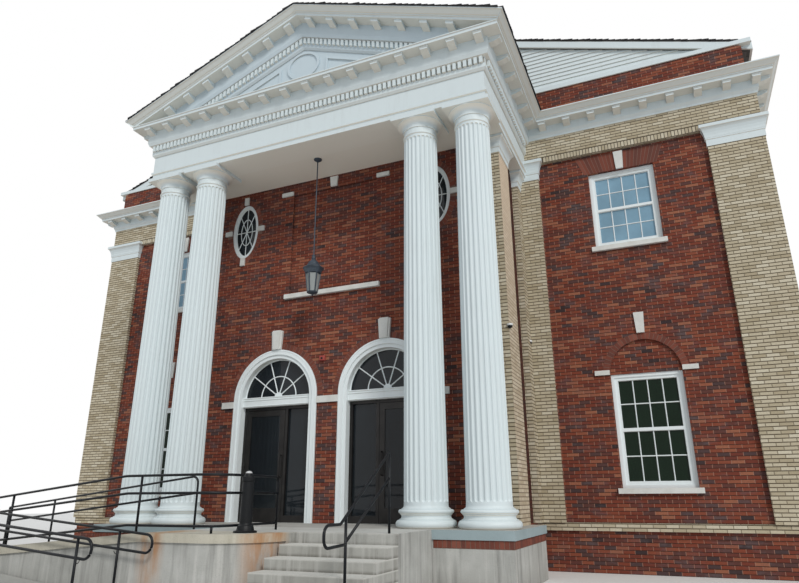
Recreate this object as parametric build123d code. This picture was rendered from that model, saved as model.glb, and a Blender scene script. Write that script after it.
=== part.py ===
from build123d import *
import math
import os

# A two-storey brick town hall with a gabled roof, a pedimented portico on four fluted
# columns, an entrance block behind it, front steps and a switchback ramp.
# Millimetres. +X to the right facing the front, +Y into the building, +Z up, ground at Z = 0.
# While it is drawn, Y = 0 is the brick face of the front wall and X = 0 the portico's middle.

# Main block
half_width = 8500
depth = 17000
wall = 350
base_drop = 283
base_out = 25
floor_level = 850
floor_thick = 200
storey_height = 4300
ceiling_drop = 970
parapet_height = 810
eave_rise = 157
roof_pitch = 0.338
roof_thick = 200
eave_out = 220
gable_set_back = 190
gable_thick = 150
ledge_out = 30
ledge_height = 95
ledge_rise = 35
rake_out = 90
rake_board = 40
roof_lip = 30
rear_bays = 4
rear_bay_margin = 2650
side_bays = 5
side_bay_margin = 2100

# Corner pilasters and the buff frieze band
pilaster_width = 945
pilaster_out = 82
pilaster_cap_height = 340
band_height = 600
band_bed_height = 282
plinth_band_height = 140
plinth_band_out = 45

# Windows of the wings, also repeated on the sides and the rear
window_x = 5846
upper_window_width = 1308
upper_window_height = 1704
upper_sill_height = 1078
lower_window_width = 1290
lower_window_height = 2111
lower_sill_height = 600
frame_face = 60
frame_depth = 120
frame_set_back = 70
sash_face = 55
sash_thick = 45
glass_thick = 12
sill_height = 95
sill_ear = 75
sill_out = 70
blind_arch_recess = 45
arch_ring = 130
key_height = 410
key_width = 190
key_out = 40
key_gap = 45
impost_width = 280
impost_height = 90
stone_gap = 5

# Entrance block
block_half = 3600
block_out = 1900
door_x = 1244
arch_radius = 1000
spring_height = 2330
arch_stilt = 80
casing_face = 180
casing_out = 30
casing_depth = 230
casing_step = 70
casing_step_back = 25
transom_drop = 80
transom_height = 200
door_impost_width = 300
door_impost_height = 130
door_impost_drop = 85
oval_x = 2321
oval_drop = 958
oval_half_width = 351
oval_half_height = 663
oval_frame_face = 75
oval_set_back = 20
oval_key_gap = 5
oval_key_length = 180
oval_key_width = 110
panel_half = 1038
panel_height = 2370
panel_drop = 296
panel_recess = 50
panel_ear = 84

# Glazed doors
door_frame_face = 60
door_frame_depth = 110
door_recess = 150
door_leaf_width = 930
door_leaf_thick = 45
door_gap = 8
stile = 110
bottom_rail = 260
top_rail = 120
pull_radius = 14
pull_length = 420
pull_height = 850
pull_reach = 60
pull_bend = 30
knuckle_radius = 9
knuckle_length = 60
knuckle_gap = 0.3
knuckle_tab = 22
hinge_heights = (180, 1030, 1880)

# Portico
column_inset = 109
column_spacing = 1026
porch_depth = 1084
head_room = 184
shaft_foot_radius = 353
shaft_neck_radius = 311
flutes = 24
flute_depth = 26
flute_arris = 14
flute_stop = 45
base_plinth_half = 470
column_base_height = 330
capital_height = 300
abacus_half = 434
abacus_height = 75
architrave_height = 162
frieze_height = 386
frieze_over = 371
frieze_ahead = 376
beam_width = 620
stylobate_ledge = 33
stylobate_ahead = 71
stylobate_height = 133
portico_base_wall = 300
anta_out = 126
anta_ahead = 90
anta_depth = 740
anta_width = 560
anta_cap_height = 351
respond_reach = 410
ceiling_board = 40

# Entablature mouldings
dentil_bed_height = 120
dentil_height = 130
dentil_pitch = 101
dentil_width = 60
dentil_out = 50
bed_height = 358
corona_height = 80
crown_height = 108
corona_out = 385
crown_out = 515
drip_out = 18
modillion_pitch = 515
modillion_width = 150
modillion_height = 110
modillion_back = 35
bed_out = 140
cornice_reach = 250

# Pediment
pediment_rise = 0.389
pediment_roof = 90
pediment_wall = 120
medallion_half_width = 390
medallion_half_height = 330
medallion_rise = 613
moulding_width = 55
moulding_out = 30
panel_margin = 150

# Lantern
lantern_ahead = 740
lantern_radius = 165
lantern_drop = 3016
lantern_glass_height = 430
lantern_cap_height = 200
lantern_rod_radius = 12
canopy_radius = 85
canopy_height = 60

# Steps, landing and ramp
risers = 6
tread = 330
steps_left = 1150
steps_right = 2750
landing_depth = 1225
landing_left = -700
ramp_gap = 675
ramp_width = 1550
rail_inset = 100
ramp_corner_radius = 850
ramp_drop = 400
ramp_length = 4600
turn_length = 1500
lower_ramp_width = 1350
lower_ramp_length = 4400
lower_ramp_toe = 15
coping_height = 110
coping_out = 30
rail_radius = 21
rail_height = 800
rail_mid = 570
rail_low = 130
rail_turn = 90
rail_end = 60
rail_post_pitch = 1525
loop_height = 350
loop_bend = 120
handrail_inset = 420
handrail_lean = 260
handrail_height = 1000
handrail_foot_height = 610
handrail_loop = 480
bollard_radius = 85
bollard_height = 1010
bollard_inset = 480
bollard_back = 560

# Levels and faces that follow from the sizes above
base_height = floor_level - base_drop
upper_floor_level = floor_level + storey_height
lower_window_sill = floor_level + lower_sill_height
lower_window_head = lower_window_sill + lower_window_height
upper_window_sill = upper_floor_level + upper_sill_height
upper_window_head = upper_window_sill + upper_window_height
soffit_level = upper_window_head + head_room
architrave_top = soffit_level + architrave_height
frieze_top = architrave_top + frieze_height
dentil_foot = frieze_top + dentil_bed_height
dentil_top = dentil_foot + dentil_height
cornice_soffit = dentil_top + bed_height
corona_top = cornice_soffit + corona_height
crown_top = corona_top + crown_height
band_top = cornice_soffit - band_bed_height
band_foot = band_top - band_height
gable_base = crown_top + parapet_height
ceiling_level = gable_base - ceiling_drop
eave_height = gable_base + eave_rise
ridge_height = eave_height + roof_pitch * half_width
spring_level = floor_level + spring_height
arch_centre = spring_level + arch_stilt
transom_foot = spring_level - transom_drop
oval_z = soffit_level - oval_drop
panel_head = soffit_level - panel_drop
panel_foot = panel_head - panel_height
capital_foot = soffit_level - anta_cap_height
medallion_z = corona_top + medallion_rise
lantern_foot = soffit_level - lantern_drop
column_outer_x = block_half - column_inset
column_inner_x = column_outer_x - column_spacing
column_y = -block_out - porch_depth
frieze_half = column_outer_x + frieze_over
frieze_front = column_y - frieze_ahead
stylobate_half = column_outer_x + base_plinth_half + stylobate_ledge
stylobate_front = column_y - base_plinth_half - stylobate_ahead
anta_out_x = block_half + anta_out
anta_front = -block_out - anta_ahead
anta_rear = anta_front + anta_depth
lantern_y = -block_out - lantern_ahead
landing_front = stylobate_front - landing_depth
ramp_inner = stylobate_front - ramp_gap
ramp_outer = ramp_inner - ramp_width
turn = landing_left - ramp_length

fit = 5
centre_y = (depth + crown_out + ramp_outer - lower_ramp_width) / 2


def block(x0, x1, y0, y1, z0, z1):
    """A box between two corners, in any order of the corners."""
    size = (abs(x1 - x0), abs(y1 - y0), abs(z1 - z0))
    return Pos((x0 + x1) / 2, (y0 + y1) / 2, (z0 + z1) / 2) * Box(*size)


def both(shape):
    """The shape and its mirror image across the middle plane, as separate solids."""
    return [shape, shape.mirror(Plane.YZ)]


def along_x(points, x0, x1):
    """A prism of a (y, z) outline, from x0 to x1."""
    wire = Polyline(*[(x0, y, z) for y, z in points], close=True)
    return Solid.extrude(Face(Wire(wire.edges())), Vector(x1 - x0, 0, 0))


def along_y(points, y0, y1):
    """A prism of an (x, z) outline, from y0 to y1."""
    wire = Polyline(*[(x, y0, z) for x, z in points], close=True)
    return Solid.extrude(Face(Wire(wire.edges())), Vector(0, y1 - y0, 0))


def along_rake(points, x0, x1, rise):
    """A prism of a (y, z) outline at x0, carried down a slope of the given rise."""
    wire = Polyline(*[(x0, y, z) for y, z in points], close=True)
    return Solid.extrude(Face(Wire(wire.edges())), Vector(x1 - x0, 0, -rise * abs(x1 - x0)))


def plan(points, z0, z1):
    """A prism of an (x, y) outline, from z0 to z1."""
    wire = Polyline(*[(x, y, z0) for x, y in points], close=True)
    return Solid.extrude(Face(Wire(wire.edges())), Vector(0, 0, z1 - z0))


def arch_disc(x, z, radius, y0, y1, squash=1.0):
    """A round or oval disc with its axis along Y."""
    if squash == 1.0:
        disc = Cylinder(radius, abs(y1 - y0))
    else:
        disc = extrude(Ellipse(radius, radius * squash), abs(y1 - y0) / 2, both=True)
    return Pos(x, (y0 + y1) / 2, z) * Rot(90, 0, 0) * disc


def tube(points, radius=None, bend=None):
    """A round bar along straight runs with rounded bends."""
    radius = radius or rail_radius
    if len(points) > 2:
        path = FilletPolyline(*points, radius=bend or rail_turn)
    else:
        path = Line(*points)
    start = Plane(origin=path @ 0, z_dir=path % 0)
    return sweep(start * Circle(radius), path=path)


def roof_top(x):
    return ridge_height - roof_pitch * abs(x)


def places(start, end, pitch):
    """Evenly spaced places from start to end, near the given pitch."""
    gaps = max(1, round(abs(end - start) / pitch))
    return [start + i * (end - start) / gaps for i in range(gaps + 1)]


def evenly(reach, count):
    """A number of places from minus to plus reach, evenly spaced."""
    return [-reach + i * 2 * reach / (count - 1) for i in range(count)]


def pediment_top(x):
    return crown_top + pediment_rise * (frieze_half + crown_out - abs(x))


def window_places():
    """Middle, width, sill and head of the two windows over each other in a bay."""
    return [
        (lower_window_width, lower_window_sill, lower_window_head),
        (upper_window_width, upper_window_sill, upper_window_head),
    ]


# Walls and floors

def window_hole(x, width, foot, head):
    return block(x - width / 2, x + width / 2, -fit * 10, wall + fit * 10, foot, head)


def blind_arch(x, width, head):
    disc = arch_disc(x, head, width / 2, -fit, blind_arch_recess)
    return disc & block(x - width, x + width, -fit, blind_arch_recess, head, head + width)


def pierced_wall(x0, x1, top, bays):
    """A flat wall on the X axis, its face at Y = 0, pierced by two windows in each bay."""
    slab = block(x0, x1, 0, wall, base_height, top)
    for x in bays:
        for width, foot, head in window_places():
            slab -= window_hole(x, width, foot, head)
        slab -= blind_arch(x, lower_window_width, lower_window_head)
    return slab


def side_bay_places():
    reach = depth / 2 - side_bay_margin
    return [depth / 2 + x for x in evenly(reach, side_bays)]


def rear_bay_places():
    return evenly(half_width - rear_bay_margin, rear_bays)


def to_side(shape):
    """Turn work that was drawn on the front face onto the right-hand side wall."""
    return Pos(half_width, 0, 0) * Rot(0, 0, 90) * shape


def to_rear(shape):
    return Pos(0, depth, 0) * Rot(0, 0, 180) * shape


def under_roof(y0, y1):
    """The space that the walls may fill, up to the underside of the main roof."""
    points = [
        (-half_width, 0),
        (half_width, 0),
        (half_width, roof_top(half_width) - roof_thick),
        (0, ridge_height - roof_thick),
        (-half_width, roof_top(half_width) - roof_thick),
    ]
    return along_y(points, y0, y1)


def front_walls():
    right = pierced_wall(block_half - wall, half_width, gable_base, [window_x])
    return both(right & under_roof(0, wall))


def side_wall():
    slab = pierced_wall(wall, depth - wall, roof_top(half_width), side_bay_places())
    return to_side(slab) & under_roof(0, depth)


def rear_wall():
    slab = to_rear(pierced_wall(-half_width, half_width, gable_base, rear_bay_places()))
    return slab & under_roof(depth - wall, depth)


def front_wall_over_hall():
    """The wall that carries the gable across the opening behind the entrance block."""
    inner = block_half - wall
    return block(-inner, inner, 0, wall, soffit_level + ceiling_board, gable_base)


def foundation():
    w = half_width + base_out
    ring = block(-w, w, -base_out, depth + base_out, 0, base_height)
    inner = half_width - wall - base_out
    ring -= block(-inner, inner, wall, depth - wall - base_out, -fit, base_height + fit)
    front = block_half + base_out
    ring += block(-front, front, -block_out, 0, 0, base_height)
    hollow = block_half - wall - base_out
    ring -= block(-hollow, hollow, wall - block_out + base_out, wall, -fit, base_height + fit)
    return ring


def ground_floor():
    """The floor slab, carried through the two doorways as their thresholds."""
    foot = floor_level - floor_thick
    w = half_width - wall
    slab = block(-w, w, wall, depth - wall, foot, floor_level)
    hall = block_half - wall
    slab += block(-hall, hall, wall - block_out, wall, foot, floor_level)
    for x in (-door_x, door_x):
        slab += block(x - arch_radius, x + arch_radius, -block_out, wall - block_out, base_height,
                      floor_level)
    return slab


def upper_floor():
    foot = upper_floor_level - floor_thick
    w = half_width - wall
    slab = block(-w, w, wall, depth - wall, foot, upper_floor_level)
    hall = block_half - wall
    return slab + block(-hall, hall, wall - block_out, wall, foot, upper_floor_level)


def attic_ceiling():
    w = half_width - wall
    return block(-w, w, wall, depth - wall, ceiling_level - floor_thick, ceiling_level)


# Entrance block

def entrance_piers():
    y0 = -block_out
    y1 = wall - block_out
    edge = door_x + arch_radius
    outer = block(edge, block_half, y0, y1, base_height, spring_level)
    middle_half = door_x - arch_radius
    middle = block(-middle_half, middle_half, y0, y1, base_height, spring_level)
    return both(outer) + [middle]


def entrance_wall_upper():
    y0 = -block_out
    y1 = wall - block_out
    slab = block(-block_half, block_half, y0, y1, spring_level, soffit_level)
    for x in (-door_x, door_x):
        slab -= arch_disc(x, arch_centre, arch_radius, y0 - fit, y1 + fit)
        stilt = arch_centre - spring_level
        slab -= block(x - arch_radius, x + arch_radius, y0 - fit, y1 + fit, spring_level - fit,
                      spring_level + stilt)
    ratio = oval_half_height / oval_half_width
    for x in (-oval_x, oval_x):
        slab -= arch_disc(x, oval_z, oval_half_width, y0 - fit, y1 + fit, ratio)
    slab -= block(-panel_half, panel_half, y0 - fit, y0 + panel_recess, panel_foot, panel_head)
    return slab


def entrance_side_walls():
    inner = block_half - wall
    slab = block(inner, block_half, wall - block_out, 0, base_height, soffit_level)
    return both(slab)


def door_casings():
    """White arched casings that line the two doorways, on a stone threshold."""
    y0 = -block_out - casing_out
    y1 = y0 + casing_depth
    ring = arch_disc(door_x, arch_centre, arch_radius, y0, y1)
    ring += block(door_x - arch_radius, door_x + arch_radius, y0, y1, floor_level, arch_centre)
    inner = arch_radius - casing_face
    for half, front in ((inner, y1 + fit), (inner + casing_step, y0 + casing_step_back)):
        ring -= arch_disc(door_x, arch_centre, half, y0 - fit, front)
        ring -= block(door_x - half, door_x + half, y0 - fit, front, floor_level - fit, arch_centre)
    bar_front = -block_out + door_recess - casing_face / 2
    bar = block(door_x - inner, door_x + inner, bar_front, y1, transom_foot,
                transom_foot + transom_height)
    return both(ring + bar)


def fanlights():
    y0 = -block_out + door_recess - glass_thick
    inner = arch_radius - casing_face
    foot = transom_foot + transom_height
    disc = arch_disc(door_x, arch_centre, inner, y0, y0 + glass_thick)
    keep = block(door_x - inner, door_x + inner, y0, y0 + glass_thick, foot, foot + inner * 2)
    return both(disc & keep)


def oval_frames():
    y0 = -block_out + oval_set_back
    y1 = y0 + frame_depth
    ratio = oval_half_height / oval_half_width
    inner = oval_half_width - oval_frame_face
    ring = arch_disc(oval_x, oval_z, oval_half_width, y0, y1, ratio)
    inner_ratio = (oval_half_height - oval_frame_face) / inner
    ring -= arch_disc(oval_x, oval_z, inner, y0 - fit, y1 + fit, inner_ratio)
    return both(ring)


def oval_glass():
    y0 = -block_out + frame_depth / 2
    inner = oval_half_width - oval_frame_face
    inner_ratio = (oval_half_height - oval_frame_face) / inner
    return both(arch_disc(oval_x, oval_z, inner, y0, y0 + glass_thick, inner_ratio))


def key_stone(x, foot, head, width, face, out):
    """A wedge stone, wider at its head, proud of the wall face."""
    points = [
        (x - width * 0.38, foot),
        (x + width * 0.38, foot),
        (x + width / 2, head),
        (x - width / 2, head),
    ]
    return along_y(points, face - out, face)


def oval_stones():
    """The four blocks at the ends of each oval's axes."""
    stones = []
    long_half = oval_key_length / 2
    short_half = oval_key_width / 2
    for dx, dz in ((1, 0), (-1, 0), (0, 1), (0, -1)):
        x = oval_x + dx * (oval_half_width + oval_key_gap + long_half)
        z = oval_z + dz * (oval_half_height + oval_key_gap + long_half)
        half_x = long_half if dx else short_half
        half_z = short_half if dx else long_half
        stone = block(x - half_x, x + half_x, -block_out - key_out, -block_out, z - half_z, z + half_z)
        stones += both(stone)
    return stones


def entrance_stone():
    """Key stones, impost blocks, and the sill and blocks of the blind panel."""
    face = -block_out
    front = face - key_out
    head = arch_centre + arch_radius
    stones = both(key_stone(door_x, head, head + key_height * 0.7, key_width, face, key_out))
    impost_foot = spring_level - door_impost_drop
    impost_head = impost_foot + door_impost_height
    outer = door_x + arch_radius
    gap = door_x - arch_radius
    stones += both(block(outer, outer + door_impost_width, front, face, impost_foot, impost_head))
    stones += [block(-gap, gap, front, face, impost_foot, impost_head)]
    ear = panel_half + panel_ear
    stones += [block(-ear, ear, face - sill_out, face, panel_foot - sill_height, panel_foot)]
    corner = panel_half + door_impost_width
    stones += both(block(panel_half + stone_gap, corner, front, face, panel_head,
                         panel_head + impost_height))
    key_foot = panel_head + stone_gap * 4
    stones += [key_stone(0, key_foot, soffit_level - key_gap, key_width, face, key_out)]
    return stones + oval_stones()


# Doors

def door_span():
    """Left edge of the right-hand leaf, its hinge edge and the mullion, on the right doorway."""
    jamb = door_x + arch_radius - casing_face - door_frame_face
    hinge = jamb - door_gap
    free = hinge - door_leaf_width
    return free, hinge, free - door_gap


def knuckles(side, lift):
    """Hinge knuckles of the right-hand leaf, each with its tab to the leaf or to the jamb."""
    free, hinge, mullion = door_span()
    x = hinge + door_gap / 2
    face = -block_out + door_recess
    y = face - knuckle_radius - 3
    edge = x + side * door_gap / 2
    pieces = []
    for height in hinge_heights:
        z0 = floor_level + height + lift
        z1 = z0 + knuckle_length
        barrel = Pos(x, y, (z0 + z1) / 2) * Cylinder(knuckle_radius, knuckle_length)
        tab = block(edge, edge + side * knuckle_tab, y - knuckle_radius / 2, face + fit, z0, z1)
        pieces.append(barrel + tab)
    return pieces


def door_frames():
    """Fixed metal frames: two jambs, a head, the mullion by the side light and the hinges."""
    inner = arch_radius - casing_face
    y0 = -block_out + door_recess
    y1 = y0 + door_frame_depth
    foot = floor_level
    body = block(door_x - inner, door_x + inner, y0, y1, foot, transom_foot)
    head = transom_foot - door_frame_face
    free, hinge, mullion = door_span()
    jamb = door_x + inner - door_frame_face
    body -= block(mullion, jamb, y0 - fit, y1 + fit, foot - fit, head)
    left = door_x - inner + door_frame_face
    side_foot = foot + bottom_rail / 2
    body -= block(left, mullion - door_frame_face, y0 - fit, y1 + fit, side_foot, head)
    for piece in knuckles(1, 0):
        body += piece
    return both(body)


def side_lights():
    inner = arch_radius - casing_face
    y0 = -block_out + door_recess + door_frame_depth / 2
    free, hinge, mullion = door_span()
    left = door_x - inner + door_frame_face
    foot = floor_level + bottom_rail / 2
    head = transom_foot - door_frame_face
    return both(block(left, mullion - door_frame_face, y0, y0 + glass_thick, foot, head))


def door_leaf():
    """The right-hand leaf: stiles, rails, hinge knuckles and a pull on two brackets."""
    free, hinge, mullion = door_span()
    y0 = -block_out + door_recess
    y1 = y0 + door_leaf_thick
    foot = floor_level + door_gap
    head = transom_foot - door_frame_face - door_gap
    leaf = block(free, hinge, y0, y1, foot, head)
    leaf -= block(free + stile, hinge - stile, y0 - fit, y1 + fit, foot + bottom_rail, head - top_rail)
    x = free + stile / 2
    out = y0 - pull_reach
    z0 = floor_level + pull_height
    z1 = z0 + pull_length
    bar = [(x, y0 + fit, z0), (x, out, z0), (x, out, z1), (x, y0 + fit, z1)]
    pull = tube(bar, pull_radius, pull_bend)
    for piece in knuckles(-1, knuckle_length + knuckle_gap):
        leaf += piece
    return leaf + pull


def door_glass():
    free, hinge, mullion = door_span()
    y0 = -block_out + door_recess + (door_leaf_thick - glass_thick) / 2
    foot = floor_level + door_gap + bottom_rail
    head = transom_foot - door_frame_face - door_gap - top_rail
    return block(free + stile, hinge - stile, y0, y0 + glass_thick, foot, head)


# Windows

def window_frame(x, width, foot, head):
    """Outer frame with the two sashes, as one joinery unit, drawn on the front face."""
    y0 = frame_set_back
    y1 = y0 + frame_depth
    unit = block(x - width / 2, x + width / 2, y0, y1, foot, head)
    middle = (foot + head) / 2
    inner = width / 2 - frame_face
    unit -= block(x - inner, x + inner, y0 - fit, y0 + sash_thick / 2, foot + frame_face,
                  head - frame_face)
    inner -= sash_face
    low = foot + frame_face + sash_face
    high = head - frame_face - sash_face
    unit -= block(x - inner, x + inner, y0 - fit, y1 + fit, low, middle - sash_face / 2)
    unit -= block(x - inner, x + inner, y0 - fit, y1 + fit, middle + sash_face / 2, high)
    return unit


def window_panes(x, width, foot, head):
    y0 = frame_set_back + frame_depth / 2
    middle = (foot + head) / 2
    inner = width / 2 - frame_face - sash_face
    low = foot + frame_face + sash_face
    high = head - frame_face - sash_face
    half = sash_face / 2
    return [
        block(x - inner, x + inner, y0, y0 + glass_thick, low, middle - half),
        block(x - inner, x + inner, y0, y0 + glass_thick, middle + half, high),
    ]


def window_dressings(x):
    """Sill, key stones and impost blocks of one bay, drawn on the front face."""
    stones = []
    for width, foot, head in window_places():
        w = width / 2 + sill_ear
        stones.append(block(x - w, x + w, -sill_out, 0, foot - sill_height, foot))
    key_foot = upper_window_head + stone_gap
    stones.append(key_stone(x, key_foot, band_foot - key_gap, key_width, 0, key_out))
    arch_key = lower_window_head + lower_window_width / 2 + arch_ring
    stones.append(key_stone(x, arch_key, arch_key + key_height, key_width, 0, key_out))
    impost_foot = lower_window_head - stone_gap
    for side in (-1, 1):
        edge = x + side * (lower_window_width / 2 + stone_gap)
        stones.append(block(edge, edge + side * impost_width, -key_out, 0, impost_foot,
                            impost_foot + impost_height))
    return stones


def as_list(made):
    return made if isinstance(made, list) else [made]


def every_bay(make):
    """What make(x) gives for each bay, turned onto the front, rear and side walls."""
    pieces = []
    for x in (-window_x, window_x):
        pieces += make(x)
    for x in rear_bay_places():
        pieces += [to_rear(piece) for piece in make(x)]
    for x in side_bay_places():
        for piece in make(x):
            pieces += both(to_side(piece))
    return pieces


def all_bays(make):
    """What make() gives for both windows of every bay."""
    def one_bay(x):
        return sum([as_list(make(x, *place)) for place in window_places()], [])
    return every_bay(one_bay)


def all_stone():
    return every_bay(window_dressings)


# Pilasters, bands and plinth

def corner_pilasters():
    out = pilaster_out
    w = pilaster_width
    post = block(half_width - w, half_width + out, -out, w, floor_level, band_foot)
    post -= block(0, half_width, 0, w + fit, floor_level - fit, band_foot + fit)
    front = post
    rear = front.mirror(Plane.XZ.offset(-depth / 2))
    return both(front) + both(rear)


def cap_rings(x0, x1, y0, y1, foot, height):
    """A moulded capital as three courses that step out: astragal, neck, and abacus."""
    parts = []
    for low, high, out in ((0.0, 0.14, 30), (0.14, 0.62, 8), (0.62, 0.80, 40), (0.80, 1.0, 70)):
        parts.append(block(x0 - out, x1 + out, y0 - out, y1 + out, foot + low * height,
                           foot + high * height))
    whole = parts[0]
    for part in parts[1:]:
        whole += part
    return whole


def pilaster_capitals():
    out = pilaster_out
    foot = band_foot - pilaster_cap_height
    cap = cap_rings(half_width - pilaster_width, half_width + out, -out, pilaster_width, foot,
                    pilaster_cap_height)
    cap -= block(0, half_width + out, -out, pilaster_width + 200, foot - fit, band_foot + fit)
    caps = both(cap) + both(cap.mirror(Plane.XZ.offset(-depth / 2)))
    return caps


def respond_piers():
    """L-shaped buff brick piers in the two inner corners beside the entrance block."""
    pier = block(block_half, anta_out_x, -respond_reach, 0, floor_level, capital_foot)
    wing = block(anta_out_x, anta_out_x + respond_reach, -pilaster_out, 0, floor_level,
                 band_foot - pilaster_cap_height)
    return both(pier + wing)


def respond_capitals():
    lift = soffit_level - capital_foot
    cap = cap_rings(block_half, anta_out_x, -respond_reach, 0, capital_foot, lift)
    cap &= block(block_half, anta_out_x + 70, -respond_reach - 70, 0, capital_foot, soffit_level)
    cap -= block(anta_out_x, anta_out_x + 200, -pilaster_out, fit, capital_foot - fit,
                 band_foot - pilaster_cap_height)
    wing_foot = band_foot - pilaster_cap_height
    wing = cap_rings(anta_out_x, anta_out_x + respond_reach, -pilaster_out, 0, wing_foot,
                     pilaster_cap_height)
    wing &= block(anta_out_x, anta_out_x + respond_reach + 70, -pilaster_out - 70, 0, wing_foot,
                  band_foot)
    return both(cap + wing - entablature())


def antae():
    """Buff brick piers wrapped round the front corners of the entrance block."""
    post = block(anta_out_x - anta_width, anta_out_x, anta_front, anta_rear, floor_level,
                 capital_foot)
    post -= block(0, block_half, -block_out, 0, 0, soffit_level)
    return both(post)


def anta_capitals():
    lift = soffit_level - capital_foot
    cap = cap_rings(anta_out_x - anta_width, anta_out_x, anta_front, anta_rear, capital_foot, lift)
    cap -= block(0, block_half, -block_out, 0, 0, soffit_level + fit)
    return both(cap)


def frieze_band():
    out = pilaster_out
    w = half_width + out
    band = block(-w, w, -out, depth + out, band_foot, band_top)
    band -= block(-half_width, half_width, 0, depth, band_foot - fit, band_top + fit)
    band -= block(-frieze_half, frieze_half, -out - fit, fit, band_foot - fit, band_top + fit)
    return band - entablature()


def plinth_band():
    """The projecting brick course at floor level, below the pilasters."""
    out = plinth_band_out
    w = half_width + out
    foot = floor_level - plinth_band_height
    band = block(-w, w, -out, depth + out, foot, floor_level)
    band -= block(-half_width, half_width, 0, depth, foot - fit, floor_level + fit)
    edge = block_half
    band -= block(-edge, edge, -out - fit, fit, foot - fit, floor_level + fit)
    return band


# Entablature and cornices

def entablature_profile():
    """Half section from the soffit to the bed of the cornice: (out, z) from the frieze face."""
    return [
        (0, soffit_level),
        (0, architrave_top - 60),
        (30, architrave_top - 45),
        (30, architrave_top),
        (0, architrave_top),
        (0, frieze_top),
        (20, frieze_top),
        (dentil_out, frieze_top + 45),
        (dentil_out, dentil_foot),
        (dentil_out, dentil_top),
        (bed_out - 30, dentil_top + 20),
        (bed_out, dentil_top + 90),
        (bed_out, cornice_soffit),
    ]


def u_block(profile, inner_half, inner_front, rear):
    """A moulded U in plan: both sides and the front follow one profile, with true mitres."""
    inner_z = (profile[0][1], profile[-1][1])
    sides = [(frieze_half + out, z) for out, z in profile]
    sides += [(-x, z) for x, z in reversed(sides)]
    front = [(frieze_front - out, z) for out, z in profile]
    front += [(rear, inner_z[1]), (rear, inner_z[0])]
    low = frieze_front - 2 * crown_out
    wide = frieze_half + 2 * crown_out
    body = along_y(sides, low, rear) & along_x(front, -wide, wide)
    body -= block(-inner_half, inner_half, inner_front, rear + fit, inner_z[0] - fit,
                  inner_z[1] + fit)
    return body


def entablature():
    inner = frieze_half - beam_width
    return u_block(entablature_profile(), inner, frieze_front + beam_width, 0)


def dentil_row():
    """Blocks of the dentil course on the front and both sides."""
    front_count = int((frieze_half + dentil_out) / dentil_pitch)
    row = []
    height = (dentil_foot + dentil_top) / 2
    size = (dentil_width, dentil_out, dentil_top - dentil_foot)
    y = frieze_front - dentil_out * 1.5
    for i in range(-front_count, front_count + 1):
        row.append(Pos(i * dentil_pitch, y, height) * Box(*size))
    side_count = int((abs(frieze_front) - pilaster_out - dentil_width) / dentil_pitch)
    for i in range(1, side_count):
        stone = Pos(frieze_half + dentil_out * 1.5, frieze_front + i * dentil_pitch, height)
        row += both(stone * Box(dentil_out, dentil_width, size[2]))
    return row


def raking_dentils():
    """Blocks of the dentil course under both slopes of the pediment."""
    lift = pediment_top(0) - crown_top
    half = (dentil_foot + lift - corona_top) / pediment_rise
    row = []
    for i in range(int(half / dentil_pitch)):
        x0 = (i + 0.5) * dentil_pitch - dentil_width / 2
        low = dentil_foot + lift - pediment_rise * x0
        high = low + dentil_height
        front = frieze_front - dentil_out * 2
        back = frieze_front - dentil_out
        points = [(front, low), (back, low), (back, high), (front, high)]
        row += both(along_rake(points, x0, x0 + dentil_width, pediment_rise))
    return row


def cornice_section(base_out_from, crown):
    """(out, z) points of the corona, with the crown moulding above it or without."""
    points = [
        (base_out_from, cornice_soffit),
        (corona_out, cornice_soffit),
        (corona_out, cornice_soffit + corona_height * 0.72),
        (corona_out + drip_out, cornice_soffit + corona_height * 0.78),
        (corona_out + drip_out, corona_top),
    ]
    if crown:
        reach = crown_out - corona_out - drip_out
        rise = crown_height * 0.8
        for t in (0.25, 0.5, 0.75, 1.0):
            swing = (1 - math.cos(math.pi * t)) / 2
            points.append((corona_out + drip_out + reach * t, corona_top + rise * swing))
        points.append((crown_out, crown_top))
    return points


def main_cornice():
    """The belt cornice round the main block, cut to the sides of the portico cornice."""
    bed = [
        (0, band_top),
        (pilaster_out + 20, band_top),
        (pilaster_out + 25, band_top + 45),
        (bed_out, band_top + 105),
        (bed_out, cornice_soffit),
    ]
    profile = bed + cornice_section(bed_out, True)[1:]
    sides = [(half_width + out, z) for out, z in profile]
    sides += [(-x, z) for x, z in reversed(sides)]
    ends = [(-out, z) for out, z in profile]
    ends += [(depth + out, z) for out, z in reversed(profile)]
    wide = half_width + 2 * crown_out
    ring = along_y(sides, -2 * crown_out, depth + 2 * crown_out) & along_x(ends, -wide, wide)
    ring -= block(-half_width, half_width, 0, depth, band_top - fit, crown_top + fit)
    ring -= block(-frieze_half, frieze_half, -2 * crown_out, fit, band_top - fit, crown_top + fit)
    return ring - entablature() - portico_cornice()


def modillion(x, front, rear, top):
    """A scrolled bracket under the corona, running from the bed to near the drip edge."""
    h = modillion_height
    deep = rear - front
    points = [
        (rear, top),
        (front, top),
        (front, top - h * 0.55),
        (front + deep * 0.22, top - h * 0.62),
        (front + deep * 0.5, top - h * 0.85),
        (rear, top - h),
    ]
    return along_x(points, x - modillion_width / 2, x + modillion_width / 2)


def spread(reach, pitch):
    """Evenly spaced places between minus and plus reach, near the given pitch."""
    gaps = max(1, round(2 * reach / pitch))
    return [-reach + i * 2 * reach / gaps for i in range(gaps + 1)]


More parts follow.
